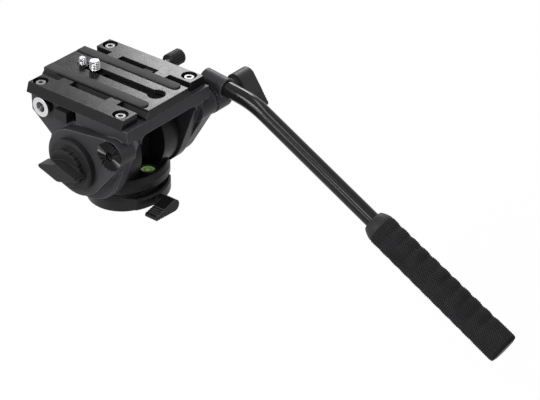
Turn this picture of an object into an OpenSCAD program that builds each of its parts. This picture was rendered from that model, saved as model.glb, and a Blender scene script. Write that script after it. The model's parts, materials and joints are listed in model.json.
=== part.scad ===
// Fluid video head: flat base, panning turret, tilting yoke with a sliding camera plate,
// and a cranked pan bar held on one of two rosettes.
// +Z is up, +X points back to the operator, +Y is the side of the pan bar.
// The origin is the mouth of the tripod thread, in the middle of the base's sole.

/* [Base] */
// Radius of the sole of the base
base_r = 33; // [29.5:0.5:34]
// Height of the base, from its sole to the gap under the turret
base_h = 18.8; // [18:0.2:24]
// Thickness of the base's floor
floor_t = 5; // [4.6:0.2:7]
// Radius of the tripod thread, 3/8 inch
thread_r = 4.76; // [3.17:0.01:4.8]
// Depth of the tripod thread
thread_depth = 12; // [9:0.5:14]
// Outer radius of the thread bush
bush_r = 7; // [6.4:0.1:7.4]
// Radius of the lug that holds the pan lock
lug_r = 42; // [40:0.5:44]
// Height of the lug
lug_h = 13; // [12:0.5:14]
// Start of the lug, in degrees from the back
lug_from = -32; // [-40:1:-24]
// End of the lug, in degrees from the back
lug_to = 46; // [30:1:50]

/* [Pan bearing] */
// Radius of the fixed spindle
spindle_r = 12; // [11.4:0.2:13]
// Radius of the spindle's head
head_r = 18; // [16:0.5:19.5]
// Thickness of the spindle's head
head_t = 5; // [4:0.5:6]
// Radius of the cavity in the turret round the spindle
cavity_r = 21; // [20.6:0.1:21.4]
// Thickness of the ring that holds the spindle in the turret
ring_t = 4; // [3:0.5:5]
// Height of the pan bush
pan_bush_t = 4.5; // [3.5:0.5:6]
// Thickness of the drag disc
disc_t = 3.2; // [2.4:0.2:4]
// Thickness of the thrust washer over the spindle's head
thrust_t = 2; // [1.5:0.25:3]
// Outer radius of the turret's collar, on which the pan brake acts
collar_r = 27; // [26.5:0.1:27.4]
// Wall of the collar
collar_t = 4.5; // [4:0.25:5]

/* [Locks] */
// Radius of the pan lock's stud
lock_stud_r = 3; // [2.5:0.25:3.5]
// Radius of the pan brake pad
pad_r = 4.2; // [3.8:0.1:5]
// Length of the pan brake pad
pad_l = 6; // [5:0.5:7]
// Radius of the pan lever's hub
pan_hub_r = 5.6; // [5:0.1:6]
// Reach of the pan lever, from its axis to the middle of its tip
pan_reach = 23; // [18:0.5:26]
// Distance of the pan lever's blade from the lug
pan_lever_gap = 6; // [2:0.5:8]
// Fall of the pan lever, in degrees
pan_lever_fall = 5; // [0:1:10]
// Width of the pan lever along its axis
pan_lever_w = 12.5; // [10:0.5:13.5]
// Radius of the pan lever's tip
pan_tip_r = 2.2; // [1.5:0.1:3]
// Radius of the tilt knob's flange
knob_r = 24; // [22:0.5:27]
// Thickness of the tilt knob's flange
knob_t = 6.5; // [5:0.5:9]
// Radius of the tilt knob's drum
knob_drum_r = 17; // [15:0.5:20]
// Height of the tilt knob's drum over its flange
knob_drum_h = 5; // [3:0.5:8]
// Length of the fin on the tilt knob
fin_l = 43; // [36:1:46]
// Thickness of the fin at its middle
fin_t = 16; // [12:0.5:20]
// Height of the fin over the drum
fin_h = 10.5; // [8:0.5:16]
// Radius of the tilt lock's stud
tilt_stud_r = 4; // [3:0.25:4.5]

/* [Turret] */
// Largest radius of the turret's skirt
turret_r = 42; // [40:0.5:44]
// Height of the skirt
skirt_h = 16; // [15:0.5:17.5]
// Radius of the tilt drums
drum_r = 37.5; // [36.5:0.25:39]
// Width of each tilt drum
drum_w = 18; // [17:0.5:20]
// Width of the channel between the drums
channel_w = 30; // [26:1:32]
// Half the depth of the neck between the drums
neck_x = 18; // [14:0.5:20]
// Radius of the recess in the outer face of each drum
recess_r = 29; // [28:0.25:30]
// Wall between that recess and the cavity round the spindle
recess_wall = 1; // [0.8:0.1:2]
// Radius of the tilt shaft
shaft_r = 8; // [7:0.25:9]
// Distance of the bubble level from the pan axis
bubble_x = 30; // [29.9:0.1:30.4]
// Outer radius of the bubble level's cup
cup_r = 7.4; // [6.6:0.1:7.6]
// Depth of the bubble level's cup in the turret
cup_d = 6.5; // [5:0.5:7]

/* [Yoke] */
// Thickness of the friction washers between drums and cheeks
washer_t = 2.2; // [1.6:0.2:3]
// Thickness of each cheek
cheek_t = 11.5; // [10:0.5:14]
// Radius of the cheeks round the tilt axis
cheek_r = 40; // [38.5:0.5:41]
// Radius of the raised part of the near cheek round the tilt axis
land_r = 31; // [28:0.5:32]
// Radius of the raised part of the far cheek round the tilt axis
far_land_r = 38; // [34:0.5:38.5]
// Height of the raised part of the cheeks
land_t = 11; // [6:0.5:11.5]
// Thickness of the deck
deck_t = 11.5; // [10.5:0.5:14]
// Reach of the deck to the front of the pan axis
deck_front = 60; // [58:0.5:64]
// Reach of the deck behind the pan axis
deck_back = 57.5; // [55:0.5:64]
// Height of the cheeks' front edge, under the deck's top
front_h = 20; // [16:0.5:24]
// Direction from the tilt axis in which the cheeks' sloping front ends, in degrees
front_turn = 165; // [155:1:172]
// Half the width of the deck behind the safety button
deck_out = 52; // [49:0.5:53]
// Radius of the fillets between deck and cheeks
arch_r = 7; // [3:0.5:9]
// Outer radius of the tilt bushes
tilt_bush_r = 13; // [11.5:0.25:14]

/* [Rosettes] */
// Distance of the rosettes behind the tilt axis
rosette_x = 45; // [43:0.5:47]
// Height of the rosettes over the tilt axis
rosette_up = 24.5; // [22:0.5:26]
// Radius of the rosettes
rosette_r = 13; // [11.5:0.25:13.5]
// Length of the rosette bosses on the cheeks
boss_l = 13; // [11:0.5:16]
// Thickness of the toothed discs
rosette_t = 2.2; // [1.8:0.1:3]
// Height of the teeth
tooth_h = 0.8; // [0.5:0.1:1.2]
// Number of teeth
teeth = 24; // [16:4:32]
// Radius of the pan bar's bolt
bolt_r = 4; // [3:0.25:4.25]

/* [Platform] */
// Length of the rails
rail_l = 109.5; // [104:0.5:112]
// Thickness of the rails
rail_t = 8.5; // [8:0.25:10]
// Half the width over the rails' top
rail_out = 51.2; // [50.5:0.1:53]
// Half the width between the rails at their notches
notch_y = 33.7; // [32.5:0.1:34.5]
// Length of the lands that guide the plate
land_l = 12.5; // [9:0.5:15]
// Distance between the middles of those lands
land_gap = 55; // [50:1:60]
// Distance between the rail screws along each rail
screw_gap = 92.5; // [86:0.5:94]
// Distance of the rail screws from the middle
screw_y = 43.3; // [42.8:0.1:44]
// Radius of the rail screws' heads
rail_head_r = 4.3; // [3.8:0.1:4.8]
// Radius of the rail screws' counterbores
counterbore_r = 6.9; // [5.5:0.1:7]
// Place of the plate clamp along the far rail
clamp_x = 7; // [5:0.5:8]
// Radius of the plate clamp's knob
clamp_knob_r = 7; // [6:0.25:8]
// Length of the plate clamp's knob
clamp_knob_l = 16; // [12:0.5:20]
// Radius of the plate clamp's stud
clamp_stud_r = 3; // [2:0.1:3]
// Width of the safety button
button_w = 14; // [10:0.5:15]
// Height of the safety button
button_h = 10; // [9:0.25:10]
// How far the safety button stands out of the cheek
button_out = 7; // [5:0.25:9]
// Travel of the safety button
button_travel = 3.5; // [3.5:0.1:4]
// Place of the safety button along the deck
button_x = -18; // [-20:0.5:-16]
// Width of the finger recess behind the safety button
recess_w = 9; // [6:0.5:11]
// Radius of the accessory ring
insert_r = 9; // [8:0.1:9.5]
// Radius of the accessory boss
accessory_r = 7.6; // [7:0.1:8]
// Length of the accessory boss
accessory_l = 5.5; // [4:0.5:8]
// Distance of the accessory thread from the deck's front
accessory_in = 19; // [17:0.5:22]

/* [Camera plate] */
// Length of the camera plate
plate_l = 122; // [112:1:140]
// Width of the camera plate at its top
plate_w = 50; // [47:0.5:51]
// Thickness of the camera plate
plate_t = 8.5; // [8:0.25:10]
// Place of the middle of the plate at rest
plate_x = -3.5; // [-8:0.5:4]
// How far the foot of the plate stands out on each side
flank = 3.3; // [2.5:0.1:4]
// Width of the slot for the camera screws
slot_w = 9.7; // [9.64:0.01:10]
// Radius of the keyhole at the end of the slot
keyhole_r = 8; // [7.5:0.1:9]
// Place of the slot's closed end from the plate's front
slot_front = 17; // [14:0.5:20]
// Place of the keyhole from the plate's back
keyhole_back = 14; // [12:0.5:18]
// Width of each rubber strip
strip_w = 9.5; // [7:0.5:10.5]
// Height of the rubber strips
strip_t = 1.2; // [0.8:0.1:2]
// Radius of the small camera screw, 1/4 inch
quarter_r = 3.17; // [3:0.01:3.3]
// Radius of the large camera screw, 3/8 inch
wide_r = 4.76; // [4.6:0.01:4.78]
// How far the small camera screw stands out of the plate
quarter_out = 7; // [6:0.5:12]
// How far the large camera screw stands out of the plate
wide_out = 8.5; // [6:0.5:14]
// Distance of the small camera screw from its place at the slot's closed end
quarter_gap = 0.65; // [0.55:0.05:20]
// Distance between the camera screws
screw_pitch = 14.5; // [14:0.5:40]

/* [Pan bar] */
// Outer radius of the tube
tube_r = 7.1; // [6.5:0.1:7.3]
// Wall of the tube
tube_t = 1.5; // [1:0.1:2.5]
// Wall of the socket round the tube
socket_t = 2; // [1.5:0.1:3]
// Length of the socket
socket_l = 24.5; // [18:0.5:30]
// Length of the clamp's hub along its axis
clamp_w = 17.5; // [17:0.25:20]
// Height of the tube over the bolt's axis
bar_rise = 13; // [12.6:0.1:14]
// Fall of the tube's first length, in degrees
bar_fall = 7; // [0:0.5:15]
// Bend of the tube, in degrees
bar_bend = 20.7; // [10:0.1:35]
// Radius of the bend
bend_r = 80; // [50:1:110]
// Distance of the bend's corner from the bolt
bend_x = 42; // [38:0.5:50]
// Length of the tube from the bend's corner to the end of the grip
bar_l = 302; // [260:1:360]
// Length of the grip
grip_l = 154; // [100:1:180]
// Radius of the grip at its front
grip_front_r = 13.4; // [11:0.1:15]
// Radius of the grip at its end
grip_end_r = 14.3; // [11:0.1:16]
// Distance between the grip's grooves
groove_pitch = 10; // [6:0.5:20]
// Depth of the grip's grooves
groove_d = 0.8; // [0.3:0.1:1.2]
// Thickness of the grip's end cap
cap_t = 3; // [2:0.25:5]
// Radius of the bar lever's hub
bar_hub_r = 9; // [8:0.25:10]
// Reach of the bar lever
bar_reach = 28.5; // [24:0.5:38]
// Width of the bar lever along its axis
bar_lever_w = 18.5; // [14:0.5:30]
// Length of the neck under the bar lever
bar_neck_l = 19; // [8:0.5:20]
// Direction of the bar lever, in degrees under the level
bar_lever_fall = 43.5; // [0:0.5:90]

/* [Hidden] */
$fn = 72;
// Clearances: a seat in one piece, a running fit, and the air between moving faces
fit = 0.02;
run = 0.06;
air = 0.3;

// Heights of the base and of the pan bearing's stack
turret_z = base_h + 2 * air;
groove_in = collar_r - collar_t - 0.5;
groove_out = collar_r + 0.5;
bush_z = floor_t + 1;
base_screw_r = (bush_r + spindle_r) / 2;
base_screw_shank = 1.5;
base_screw_l = 12;
base_screw_head = (spindle_r - bush_r) / 2 - 0.15;
ring_z = turret_z + 2 * air;
pan_bush_z = ring_z + ring_t;
disc_z = pan_bush_z + pan_bush_t + air;
head_z = disc_z + disc_t + air;
thrust_z = head_z + head_t + air;
cavity_z = thrust_z + thrust_t;
skirt_z = turret_z + skirt_h;

// The tilt axis lies over the base by the radius of the drums
drum_lift = 1;
tilt_z = turret_z + drum_lift + drum_r;
drum_in = channel_w / 2;
drum_out = drum_in + drum_w;
recess_y = cavity_r + recess_wall;

// The yoke, out from the drums and up from the tilt axis
yoke_in = drum_out + washer_t + air;
cheek_out = yoke_in + cheek_t;
land_out = cheek_out + land_t;
boss_out = cheek_out + boss_l;
boss_in = cheek_out - 4;
rosette_y = boss_out + rosette_t + tooth_h;
rosette_z = tilt_z + rosette_up;
relief_r = drum_r + 2 * air;
relief_d = 2;
deck_z = tilt_z + drum_r - relief_d + 0.5;
deck_top = deck_z + deck_t;
cheek_bevel = 2;
brake_w = 9;
land_hole_r = shaft_r + brake_w;
drive_pin_r = 2;
drive_pin_x = 14.5;
drive_pin_d = 5;

// The base runs inside the cheeks, and its lug under them
base_top_r = yoke_in - 0.5;
lug_top = tilt_z - cheek_r - 1.5;
lug_z = lug_top - lug_h;
lug_bevel = 1.5;
lug_under = 4;
lug_rise = 3;
lock_z = lug_z + lug_h / 2;
pad_x = groove_out + 0.2;
stud_x = pad_x + pad_l;
pan_lever_x = lug_r + pan_lever_gap;
pan_stud_end = pan_lever_x + pan_lever_w - 3;

// The platform
rail_top = deck_top + rail_t;
rail_x = -2.5;
rail_draft = 2.8;
plate_z = deck_top + 2 * air;
plate_top = plate_z + plate_t;
plate_front = plate_x - plate_l / 2;
plate_back = plate_x + plate_l / 2;
plate_foot = plate_w / 2 + flank;
foot_h = 2.2;
neck_h = 2.6;
slide_gap = 0.4;
counterbore_d = 6;
rail_head_t = 4.6;
rail_shank_r = 2.5;
rail_shank_l = 7;
clamp_z = deck_top + rail_t / 2;
clamp_pad_w = 10;
clamp_pad_h = 5;
clamp_pad_y = plate_foot + 1.4;
clamp_pad_l = 7;
clamp_pocket = clamp_pad_y + clamp_pad_l + 1.2;
clamp_knob_y = rail_out + rail_draft + 2.5;

// The channel under the plate, and the pins that stop it
channel_h = 4.5;
slider_t = 1.8;
slider_w = 21;
slider_l = 13.4;
screw_head_r = 6.5;
screw_head_t = 2;
quarter_neck_r = quarter_r - 0.5;
wide_neck_r = wide_r - 0.8;
web_z = plate_z + channel_h;
tee_w = slider_w + 2 * air;
slot_x0 = plate_front + slot_front;
quarter_x = slot_x0 + slot_w / 2 + quarter_gap;
wide_x = quarter_x + screw_pitch;
channel_lead = 9;
channel_wall = 5;
channel_x0 = slot_x0 - channel_lead;
channel_x1 = plate_back - channel_wall;
keyhole_x = plate_back - keyhole_back;
stop_y = -18;
stop_r = 1.6;
plate_travel = 25;
finger_w = 4;
finger_t = 3;
stop_reach = plate_travel + stop_r + finger_w / 2 + 1;
finger_groove = 3.4;

// The safety button, its arm and its spring
button_z = deck_z - 3.6;
button_pocket = button_out + 2 * button_travel;
button_recess = button_x + button_w / 2 + recess_w;
button_l = button_out + 2.5;
button_y = cheek_out + button_out;
arm_z = deck_z + 4.6;
arm_t = 3;
spring_wire = 0.45;
spring_r = 2.4;
spring_hole_r = spring_r + spring_wire + 0.35;
spring_z = button_z + button_h / 2 - 2;
spring_x = button_x;
spring_seat = cheek_out - button_pocket + button_out;

// The accessory thread
accessory_x = accessory_in - deck_front;
accessory_z = deck_top - insert_r - air;
insert_t = 2;
sleeve_r = 6.4;
sleeve_l = 14;

// The pan bar
clamp_in = rosette_y + air + tooth_h;
clamp_out = clamp_in + clamp_w;
socket_r = tube_r + socket_t;
bar_y = clamp_in + max(clamp_w / 2, socket_r + air);
bend_t = bend_r * tan(bar_bend / 2);
second_l = bar_l - bend_t;
grip_start = second_l - cap_t - grip_l;
bar_lever_y = clamp_out + air;
bolt_end = boss_in + 2.5;
lever_bore = 8;

// Colours
black = [0.09, 0.09, 0.10];
charcoal = [0.17, 0.17, 0.18];
rubber = [0.06, 0.06, 0.06];
steel = [0.72, 0.73, 0.75];
brass = [0.78, 0.62, 0.30];
green = [0.45, 0.80, 0.25];

// Shapes that repeat

// A cylinder along Y from y0 to y1 at the given x and z
module along_y(x, z, y0, y1, r, sides = $fn) {
    translate([x, y1, z]) rotate([90, 0, 0]) cylinder(h = y1 - y0, r = r, $fn = sides);
}

// A cylinder along X from x0 to x1 at the given y and z
module along_x(y, z, x0, x1, r) {
    translate([x0, y, z]) rotate([0, 90, 0]) cylinder(h = x1 - x0, r = r);
}

// A ring along Z
module ring(z0, z1, r_in, r_out) {
    translate([0, 0, z0]) difference() {
        cylinder(h = z1 - z0, r = r_out);
        translate([0, 0, -1]) cylinder(h = z1 - z0 + 2, r = r_in);
    }
}

// A ring along Y round the tilt axis
module tilt_ring(y0, y1, r_in, r_out) {
    difference() {
        along_y(0, tilt_z, y0, y1, r_out);
        along_y(0, tilt_z, y0 - 1, y1 + 1, r_in);
    }
}

// A box from one corner to the other
module box(a, b) {
    translate(a) cube(b - a);
}

// An outline in Y and Z, drawn out along X from x0 to x1
module along_rail(x0, x1) {
    translate([x0, 0, 0]) rotate([90, 0, 90]) linear_extrude(x1 - x0) children();
}

// An outline in X and Z, drawn out along Y from y0 to y1
module across(y0, y1) {
    translate([0, y1, 0]) rotate([90, 0, 0]) linear_extrude(y1 - y0) children();
}

// Both sides of the middle plane
module both_sides() {
    children();
    mirror([0, 1, 0]) children();
}

// A tapered link between two circles whose middles lie d apart on X
module tapered_link(r1, r2, d) {
    a = acos((r1 - r2) / d);
    circle(r1);
    translate([d, 0]) circle(r2);
    polygon([[r1 * cos(a), -r1 * sin(a)], [d + r2 * cos(a), -r2 * sin(a)],
        [d + r2 * cos(a), r2 * sin(a)], [r1 * cos(a), r1 * sin(a)]]);
}

// A paddle lever along Z: hub, blade and finger grooves near the tip
module paddle(hub_r, tip_r, reach, width) {
    grooves = 4;
    groove_r = 0.7;
    pitch = 2.6;
    edge = atan2(hub_r - tip_r, reach);
    difference() {
        linear_extrude(width) tapered_link(hub_r, tip_r, reach);
        for (i = [0 : grooves - 1], side = [-1, 1]) {
            x = reach - 1 - i * pitch;
            y = tip_r + (reach - x) * tan(edge) + groove_r * 0.45;
            translate([x, side * y, -1]) cylinder(h = width + 2, r = groove_r, $fn = 24);
        }
    }
}

// Radial teeth in a ring that stands on the plane z = 0
module tooth_ring(r_in, r_out) {
    half = PI * r_in / teeth * 0.9;
    for (i = [0 : teeth - 1])
        rotate([0, 0, i * 360 / teeth])
            translate([r_in, 0, 0]) rotate([90, 0, 90])
                linear_extrude(r_out - r_in) polygon([[-half, 0], [half, 0], [0, tooth_h]]);
}

// The point where a line from p touches a circle of radius r round the origin
function tangent_from(p, r, turn) =
    let (a = atan2(p[1], p[0]) + turn * acos(r / norm(p))) [r * cos(a), r * sin(a)];

// A closed tube of triangles through a list of rings, each with the same number of points
module ring_tube(rings) {
    n = len(rings[0]);
    m = len(rings);
    points = [for (r = rings) each r];
    sides = [for (i = [0 : m - 2], j = [0 : n - 1]) let (k = (j + 1) % n)
        each [[i * n + j, i * n + k, (i + 1) * n + j], [i * n + k, (i + 1) * n + k, (i + 1) * n + j]]];
    first = [for (j = [1 : n - 2]) [0, j + 1, j]];
    last = [for (j = [1 : n - 2]) let (o = (m - 1) * n) [o, o + j, o + j + 1]];
    polyhedron(points = points, faces = concat(sides, first, last), convexity = 8);
}

// A coil along Z that starts at z = 0, with the given turns and pitch
module coil(r, wire_r, turns, pitch, steps, sides) {
    ring_tube([for (i = [0 : turns * steps])
        let (a = i * 360 / steps, z = pitch * i / steps)
        [for (j = [0 : sides - 1])
            let (b = -j * 360 / sides, q = r + wire_r * cos(b))
            [q * cos(a), q * sin(a), z + wire_r * sin(b)]]]);
}

// Fixed base

module base_outline() {
    bevel = 1;
    polygon([[0, 0], [base_r - bevel, 0], [base_r, bevel], [base_top_r, base_h * 0.62],
        [base_top_r, base_h - bevel], [base_top_r - bevel, base_h], [0, base_h]]);
}

module lug_outline() {
    inner = groove_out + 1;
    polygon([[inner, lug_z], [lug_r - lug_under, lug_z], [lug_r, lug_z + lug_rise],
        [lug_r, lug_top - lug_bevel], [lug_r - lug_bevel, lug_top], [inner, lug_top]]);
}

// A ramp from the base's wall to one end of the lug, a hair inside both
module lug_ramp(end, turn) {
    hair = 0.4;
    side = end - turn;
    z = [lug_z + hair, lug_top - hair];
    reach = [lug_r - lug_under - hair, lug_r - lug_bevel - hair];
    wall = [base_r, base_top_r - hair];
    ring_tube([for (i = [0, 1])
        let (root = (groove_out + 2) * [cos(side), sin(side)],
            corner = reach[i] * [cos(side), sin(side)],
            foot = tangent_from(corner, wall[i], turn),
            course = turn < 0 ? [root, corner, foot] : [root, foot, corner])
        [for (point = course) [point[0], point[1], z[i]]]]);
}

module base() {
    screw_head_d = 3;
    color(black) difference() {
        union() {
            rotate_extrude() base_outline();
            rotate([0, 0, lug_from]) rotate_extrude(angle = lug_to - lug_from) lug_outline();
            lug_ramp(lug_from, -1);
            lug_ramp(lug_to, 1);
        }
        ring(floor_t, base_h + 1, groove_in, groove_out);
        translate([0, 0, -1]) cylinder(h = base_h, r = bush_r + fit);
        translate([0, 0, bush_z]) cylinder(h = base_h, r = spindle_r + fit);
        for (i = [0 : 3]) rotate([0, 0, 45 + i * 90]) translate([base_screw_r, 0, 0]) {
            translate([0, 0, -1]) cylinder(h = screw_head_d + 1.4, r = base_screw_head + fit);
            translate([0, 0, -1]) cylinder(h = base_h, r = base_screw_shank + fit);
        }
        along_x(0, lock_z, groove_in + 1, stud_x + air, pad_r + run);
        along_x(0, lock_z, groove_in + 1, lug_r + 1, lock_stud_r + run);
    }
}

module thread_bush() {
    color(steel) difference() {
        cylinder(h = thread_depth + 2, r = bush_r);
        translate([0, 0, -1]) cylinder(h = thread_depth + 1, r = thread_r);
    }
}

module pan_spindle() {
    color(steel) difference() {
        union() {
            translate([0, 0, bush_z]) cylinder(h = head_z - bush_z + 1, r = spindle_r);
            translate([0, 0, head_z]) cylinder(h = head_t, r = head_r);
        }
        translate([0, 0, bush_z - 1]) cylinder(h = thread_depth + 3 - bush_z + air, r = bush_r + fit);
        for (i = [0 : 3]) rotate([0, 0, 45 + i * 90]) translate([base_screw_r, 0, bush_z - 1])
            cylinder(h = base_screw_l, r = base_screw_shank + fit);
    }
}

module base_screws() {
    recess = 0.8;
    head = 2.6;
    color(steel) for (i = [0 : 3]) rotate([0, 0, 45 + i * 90]) translate([base_screw_r, 0, 0])
        difference() {
            union() {
                translate([0, 0, recess]) cylinder(h = head, r = base_screw_head);
                translate([0, 0, recess + head]) cylinder(h = base_screw_l, r = base_screw_shank);
            }
            translate([0, 0, recess - 1]) cylinder(h = 2.2, r = 1.2, $fn = 6);
        }
}

module pan_drag_disc() {
    color(brass) ring(disc_z, disc_z + disc_t, spindle_r + fit, cavity_r - 1);
}

module pan_brake_pad() {
    color(brass) intersection() {
        along_x(0, lock_z, pad_x - 2, stud_x, pad_r);
        ring(lock_z - pad_r - 1, lock_z + pad_r + 1, pad_x, stud_x + 2);
    }
}

module pan_lock_stud() {
    color(steel) along_x(0, lock_z, stud_x + air, pan_stud_end, lock_stud_r);
}

module pan_lock_lever() {
    color(black) difference() {
        union() {
            translate([pan_lever_x, 0, lock_z]) rotate([90, 0, 90]) rotate([0, 0, 180 + pan_lever_fall])
                paddle(pan_hub_r, pan_tip_r, pan_reach, pan_lever_w);
            along_x(0, lock_z, lug_r + air, pan_lever_x + 1, pan_hub_r - 0.6);
        }
        along_x(0, lock_z, lug_r - 1, pan_stud_end, lock_stud_r + fit);
    }
}

// Turret

module skirt_outline() {
    rim = 4;
    foot = 5.5;
    slope = 5;
    polygon([[0, turret_z], [turret_r - foot, turret_z], [turret_r, turret_z + slope],
        [turret_r, skirt_z - slope], [turret_r - rim / 2, skirt_z - 1], [turret_r - rim + 1, skirt_z],
        [0, skirt_z]]);
}

module turret() {
    color(black) difference() {
        union() {
            intersection() {
                rotate_extrude() skirt_outline();
                box([-2 * turret_r, -drum_out, 0], [2 * turret_r, drum_out, skirt_z + 1]);
            }
            ring(floor_t + 2 * air, turret_z + 1, collar_r - collar_t, collar_r);
            both_sides() along_y(0, tilt_z, drum_in, drum_out, drum_r);
            box([-neck_x, -drum_in - 1, skirt_z - 1], [neck_x, drum_in + 1, tilt_z]);
            along_y(0, tilt_z, -drum_in - 1, drum_in + 1, neck_x);
        }
        translate([0, 0, floor_t]) cylinder(h = turret_z - floor_t + 0.5, r = collar_r - collar_t);
        translate([0, 0, turret_z - 1]) cylinder(h = cavity_z - turret_z + 1, r = cavity_r);
        along_y(0, tilt_z, -drum_out - 1, drum_out + 1, shaft_r + fit);
        both_sides() along_y(0, tilt_z, recess_y, drum_out + 1, recess_r);
        translate([bubble_x, 0, skirt_z - cup_d]) cylinder(h = cup_d + 1, r = cup_r + fit);
    }
}

module pan_bush() {
    color(brass) ring(pan_bush_z, pan_bush_z + pan_bush_t, spindle_r + run, cavity_r - fit);
}

module pan_retaining_ring() {
    color(steel) ring(ring_z, ring_z + ring_t, spindle_r + 2 * air, cavity_r - fit);
}

module pan_thrust_washer() {
    color(brass) ring(thrust_z, thrust_z + thrust_t, spindle_r / 2, head_r);
}

cup_wall = 1.2;
cup_floor = 1.5;
cup_rim = 1;
window_t = 1.4;

module bubble_cup() {
    color(charcoal) translate([bubble_x, 0, skirt_z - cup_d]) difference() {
        cylinder(h = cup_d + cup_rim, r = cup_r);
        translate([0, 0, cup_floor]) cylinder(h = cup_d + cup_rim, r = cup_r - cup_wall);
    }
}

module bubble_vial() {
    color(green) translate([bubble_x, 0, skirt_z - cup_d + cup_floor])
        cylinder(h = cup_d + cup_rim - cup_floor - window_t - 0.2, r = cup_r - cup_wall - fit);
}

module bubble_window() {
    color([0.8, 0.95, 0.8, 0.6]) translate([bubble_x, 0, skirt_z + cup_rim - window_t - 0.2])
        cylinder(h = window_t, r = cup_r - cup_wall - fit);
}

shaft_near = -(cheek_out + air + 3.4);
shaft_far = cheek_out + 4.5;

module tilt_shaft() {
    hole_d = 17;
    color(steel) difference() {
        along_y(0, tilt_z, shaft_near, shaft_far, shaft_r);
        along_y(0, tilt_z, shaft_near - 1, shaft_near + hole_d, tilt_stud_r + run);
    }
}

module shaft_nut() {
    color(steel) difference() {
        along_y(0, tilt_z, cheek_out + air, cheek_out + 4, shaft_r + 4.5, 6);
        along_y(0, tilt_z, cheek_out - 1, cheek_out + 5, shaft_r + fit);
    }
}

module tilt_brake_plate() {
    color(steel) tilt_ring(shaft_near, -(cheek_out + air), shaft_r + fit, land_hole_r - 0.5);
}

module tilt_drag_cup() {
    floor = 2;
    wall = 3;
    color(charcoal) difference() {
        along_y(0, tilt_z, recess_y, drum_out - air, recess_r - fit);
        along_y(0, tilt_z, recess_y + floor, drum_out + 1, recess_r - wall);
        along_y(0, tilt_z, recess_y - 1, drum_out + 1, shaft_r + fit);
    }
}

module counterbalance_spring() {
    wire = 1;
    turns = 2.5;
    inset = 9;
    length = drum_out - recess_y - 2 * (air + wire);
    color(steel) translate([0, -recess_y - air - wire, tilt_z]) rotate([90, 0, 0])
        coil(recess_r - inset, wire, turns, length / turns, 24, 6);
}

// Yoke

// Outline of a cheek round the tilt axis, drawn in by the given inset
module cheek_outline(inset) {
    top = deck_top - tilt_z;
    low = deck_z - tilt_z;
    r = cheek_r - inset;
    back = [deck_back - inset, low];
    front = inset - deck_front;
    circle(r);
    polygon([[front, top], [back[0], top], back, tangent_from(back, r, -1), [0, 0],
        [r * cos(front_turn), r * sin(front_turn)], [front, top - front_h]]);
}

// The raised part of a cheek, from the tilt axis to the rosette's boss
module land_outline(r) {
    rotate(atan2(rosette_up, rosette_x))
        tapered_link(r, rosette_r - 0.5, norm([rosette_x, rosette_up]));
}

// The fillet in the corner between the deck's underside and a cheek
module arch_fillet() {
    difference() {
        translate([yoke_in - arch_r, deck_z - arch_r]) square(arch_r + 0.5);
        translate([yoke_in - arch_r, deck_z - arch_r]) circle(arch_r);
    }
}

module yoke_side(raised_r) {
    translate([0, 0, tilt_z]) across(yoke_in, cheek_out - cheek_bevel) cheek_outline(0);
    translate([0, 0, tilt_z]) across(cheek_out - cheek_bevel - 0.1, cheek_out)
        cheek_outline(cheek_bevel / 2);
    translate([0, 0, tilt_z]) across(cheek_out - 1, land_out) land_outline(raised_r);
    along_y(rosette_x, rosette_z, boss_in, boss_out, rosette_r);
    box([button_recess + 1, cheek_out - 1, deck_z], [deck_back, deck_out, deck_top]);
    along_rail(-deck_front, deck_back) arch_fillet();
}

module yoke() {
    pocket_x = button_w / 2 + air;
    color(charcoal) difference() {
        union() {
            yoke_side(far_land_r);
            mirror([0, 1, 0]) yoke_side(land_r);
            box([-deck_front, -yoke_in - 1, deck_z], [deck_back, yoke_in + 1, deck_top]);
        }
        along_y(0, tilt_z, -yoke_in, yoke_in, relief_r);
        both_sides() along_y(0, tilt_z, yoke_in - 1, land_out + 1, tilt_bush_r + fit);
        both_sides() along_y(0, tilt_z, cheek_out, land_out + 1, land_hole_r);
        both_sides() along_y(rosette_x, rosette_z, bolt_end - 1, boss_out + 1, bolt_r + run);
        for (side = [-1, 1])
            along_y(drive_pin_x, tilt_z + side * drive_pin_x, yoke_in - 1, yoke_in + drive_pin_d,
                drive_pin_r + fit);
        for (x = [-1, 1], y = [-1, 1])
            translate([rail_x - 1.3 + x * screw_gap / 2, y * screw_y, deck_top - rail_shank_l])
                cylinder(h = rail_shank_l + 1, r = rail_shank_r + fit);
        along_y(accessory_x, accessory_z, -cheek_out - 1, -cheek_out - accessory_l + sleeve_l,
            sleeve_r + fit);
        box([button_x - pocket_x, -cheek_out - 1, button_z - air],
            [button_recess, -spring_seat, button_z + button_h + air]);
        box([button_x - finger_w / 2 - air, -cheek_out + 1, arm_z - air],
            [button_x + finger_w / 2 + air, stop_y + button_travel + finger_t / 2 + air,
            arm_z + arm_t + air]);
        box([button_x - finger_w / 2 - air, stop_y - finger_t / 2 - air, arm_z],
            [button_x + finger_w / 2 + air, stop_y + button_travel + finger_t / 2 + air,
            deck_top + 1]);
    }
}

module tilt_bushes() {
    color(brass) both_sides() tilt_ring(yoke_in, cheek_out, shaft_r + run, tilt_bush_r);
}

module friction_washers() {
    color(black) both_sides()
        tilt_ring(drum_out + air, yoke_in, recess_r + 1.5, drum_r - 1);
}

module tilt_drag_rotor() {
    floor = 2;
    wall = 3;
    y0 = recess_y + floor + air;
    y1 = drum_out - 3;
    color(steel) {
        tilt_ring(y0, y1, shaft_r + run, recess_r - wall - air);
        for (side = [-1, 1])
            along_y(drive_pin_x, tilt_z + side * drive_pin_x, y1 - 1, yoke_in + drive_pin_d - air,
                drive_pin_r);
    }
}

module tilt_end_cap() {
    cap = 2.5;
    color(black) along_y(0, tilt_z, land_out, land_out + cap, land_r - 5);
}

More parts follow.
